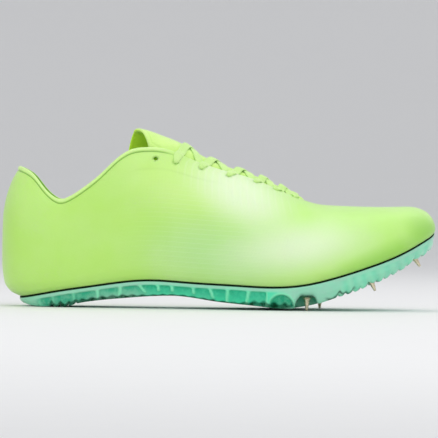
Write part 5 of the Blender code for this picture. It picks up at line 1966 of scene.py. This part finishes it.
class SHOE_OT_plate(bpy.types.Operator):
    """Builds the spike plate"""

    bl_idname = "shoe.plate"
    bl_label = "Spike Plate"

    def execute(self, context):
        look = context.scene.shoe_sole
        plate = build_plate(Last(context.scene.shoe_last), look)
        finish_piece(plate, plate_material(look), "plate_resin", "spike_plate")
        return {"FINISHED"}


class SHOE_OT_pins(bpy.types.Operator):
    """Builds the six spike pins"""

    bl_idname = "shoe.pins"
    bl_label = "Spike Pins"

    def execute(self, context):
        look = context.scene.shoe_sole
        pins = build_pins(Last(context.scene.shoe_last), look)
        finish_piece(pins, pin_material(look), "pin_steel", *[pin[0] for pin in PINS])
        return {"FINISHED"}


class SHOE_OT_stage(bpy.types.Operator):
    """Builds the pale floor, the softboxes and the sky"""

    bl_idname = "shoe.stage"
    bl_label = "Floor and Light"

    def execute(self, context):
        scene = context.scene
        stage = scene.shoe_stage
        floor = build_floor()
        floor.data.materials.append(floor_material(stage))
        for name, place, target, width, height, share in SOFTBOXES:
            add_softbox(name, place, target, width, height, stage.key_power * share)
        world = scene.world or bpy.data.worlds.new("studio_sky")
        scene.world = world
        world.use_nodes = True
        sky = world.node_tree.nodes["Background"]
        sky.inputs["Color"].default_value = (0.95, 0.96, 1.0, 1)
        sky.inputs["Strength"].default_value = 0.72
        scene.view_settings.view_transform = "Standard"
        return {"FINISHED"}


class SHOE_PT_panel(bpy.types.Panel):
    """Sizes, colours and build steps of the shoe"""

    bl_idname = "SHOE_PT_panel"
    bl_label = "Spike Shoe"
    bl_space_type = "VIEW_3D"
    bl_region_type = "UI"
    bl_category = "Spike Shoe"

    def draw(self, context):
        for name in GROUPS:
            group = getattr(context.scene, name)
            box = self.layout.box()
            for key in group.bl_rna.properties.keys():
                if key not in {"rna_type", "name"}:
                    box.prop(group, key)
        for operator in OPERATORS:
            self.layout.operator(operator.bl_idname)


GROUPS = {
    "shoe_last": SHOE_PG_last,
    "shoe_upper": SHOE_PG_upper,
    "shoe_sole": SHOE_PG_sole,
    "shoe_lace": SHOE_PG_lace,
    "shoe_stage": SHOE_PG_stage,
}
OPERATORS = [
    SHOE_OT_camera, SHOE_OT_upper, SHOE_OT_tongue, SHOE_OT_lace, SHOE_OT_insole,
    SHOE_OT_board, SHOE_OT_plate, SHOE_OT_pins, SHOE_OT_stage,
]


def register():
    """Registers the classes and the settings."""
    for cls in (*GROUPS.values(), *OPERATORS, SHOE_PT_panel):
        bpy.utils.register_class(cls)
    for name, cls in GROUPS.items():
        setattr(bpy.types.Scene, name, PointerProperty(type=cls))


def unregister():
    """Takes the settings and the classes away again."""
    for name in GROUPS:
        delattr(bpy.types.Scene, name)
    for cls in reversed((*GROUPS.values(), *OPERATORS, SHOE_PT_panel)):
        bpy.utils.unregister_class(cls)


def main():
    register()
    bpy.ops.shoe.camera()
    bpy.ops.shoe.upper()
    bpy.ops.shoe.tongue()
    bpy.ops.shoe.lace()
    bpy.ops.shoe.insole()
    bpy.ops.shoe.board()
    bpy.ops.shoe.plate()
    bpy.ops.shoe.pins()
    bpy.ops.shoe.stage()


if __name__ == "__main__":
    main()
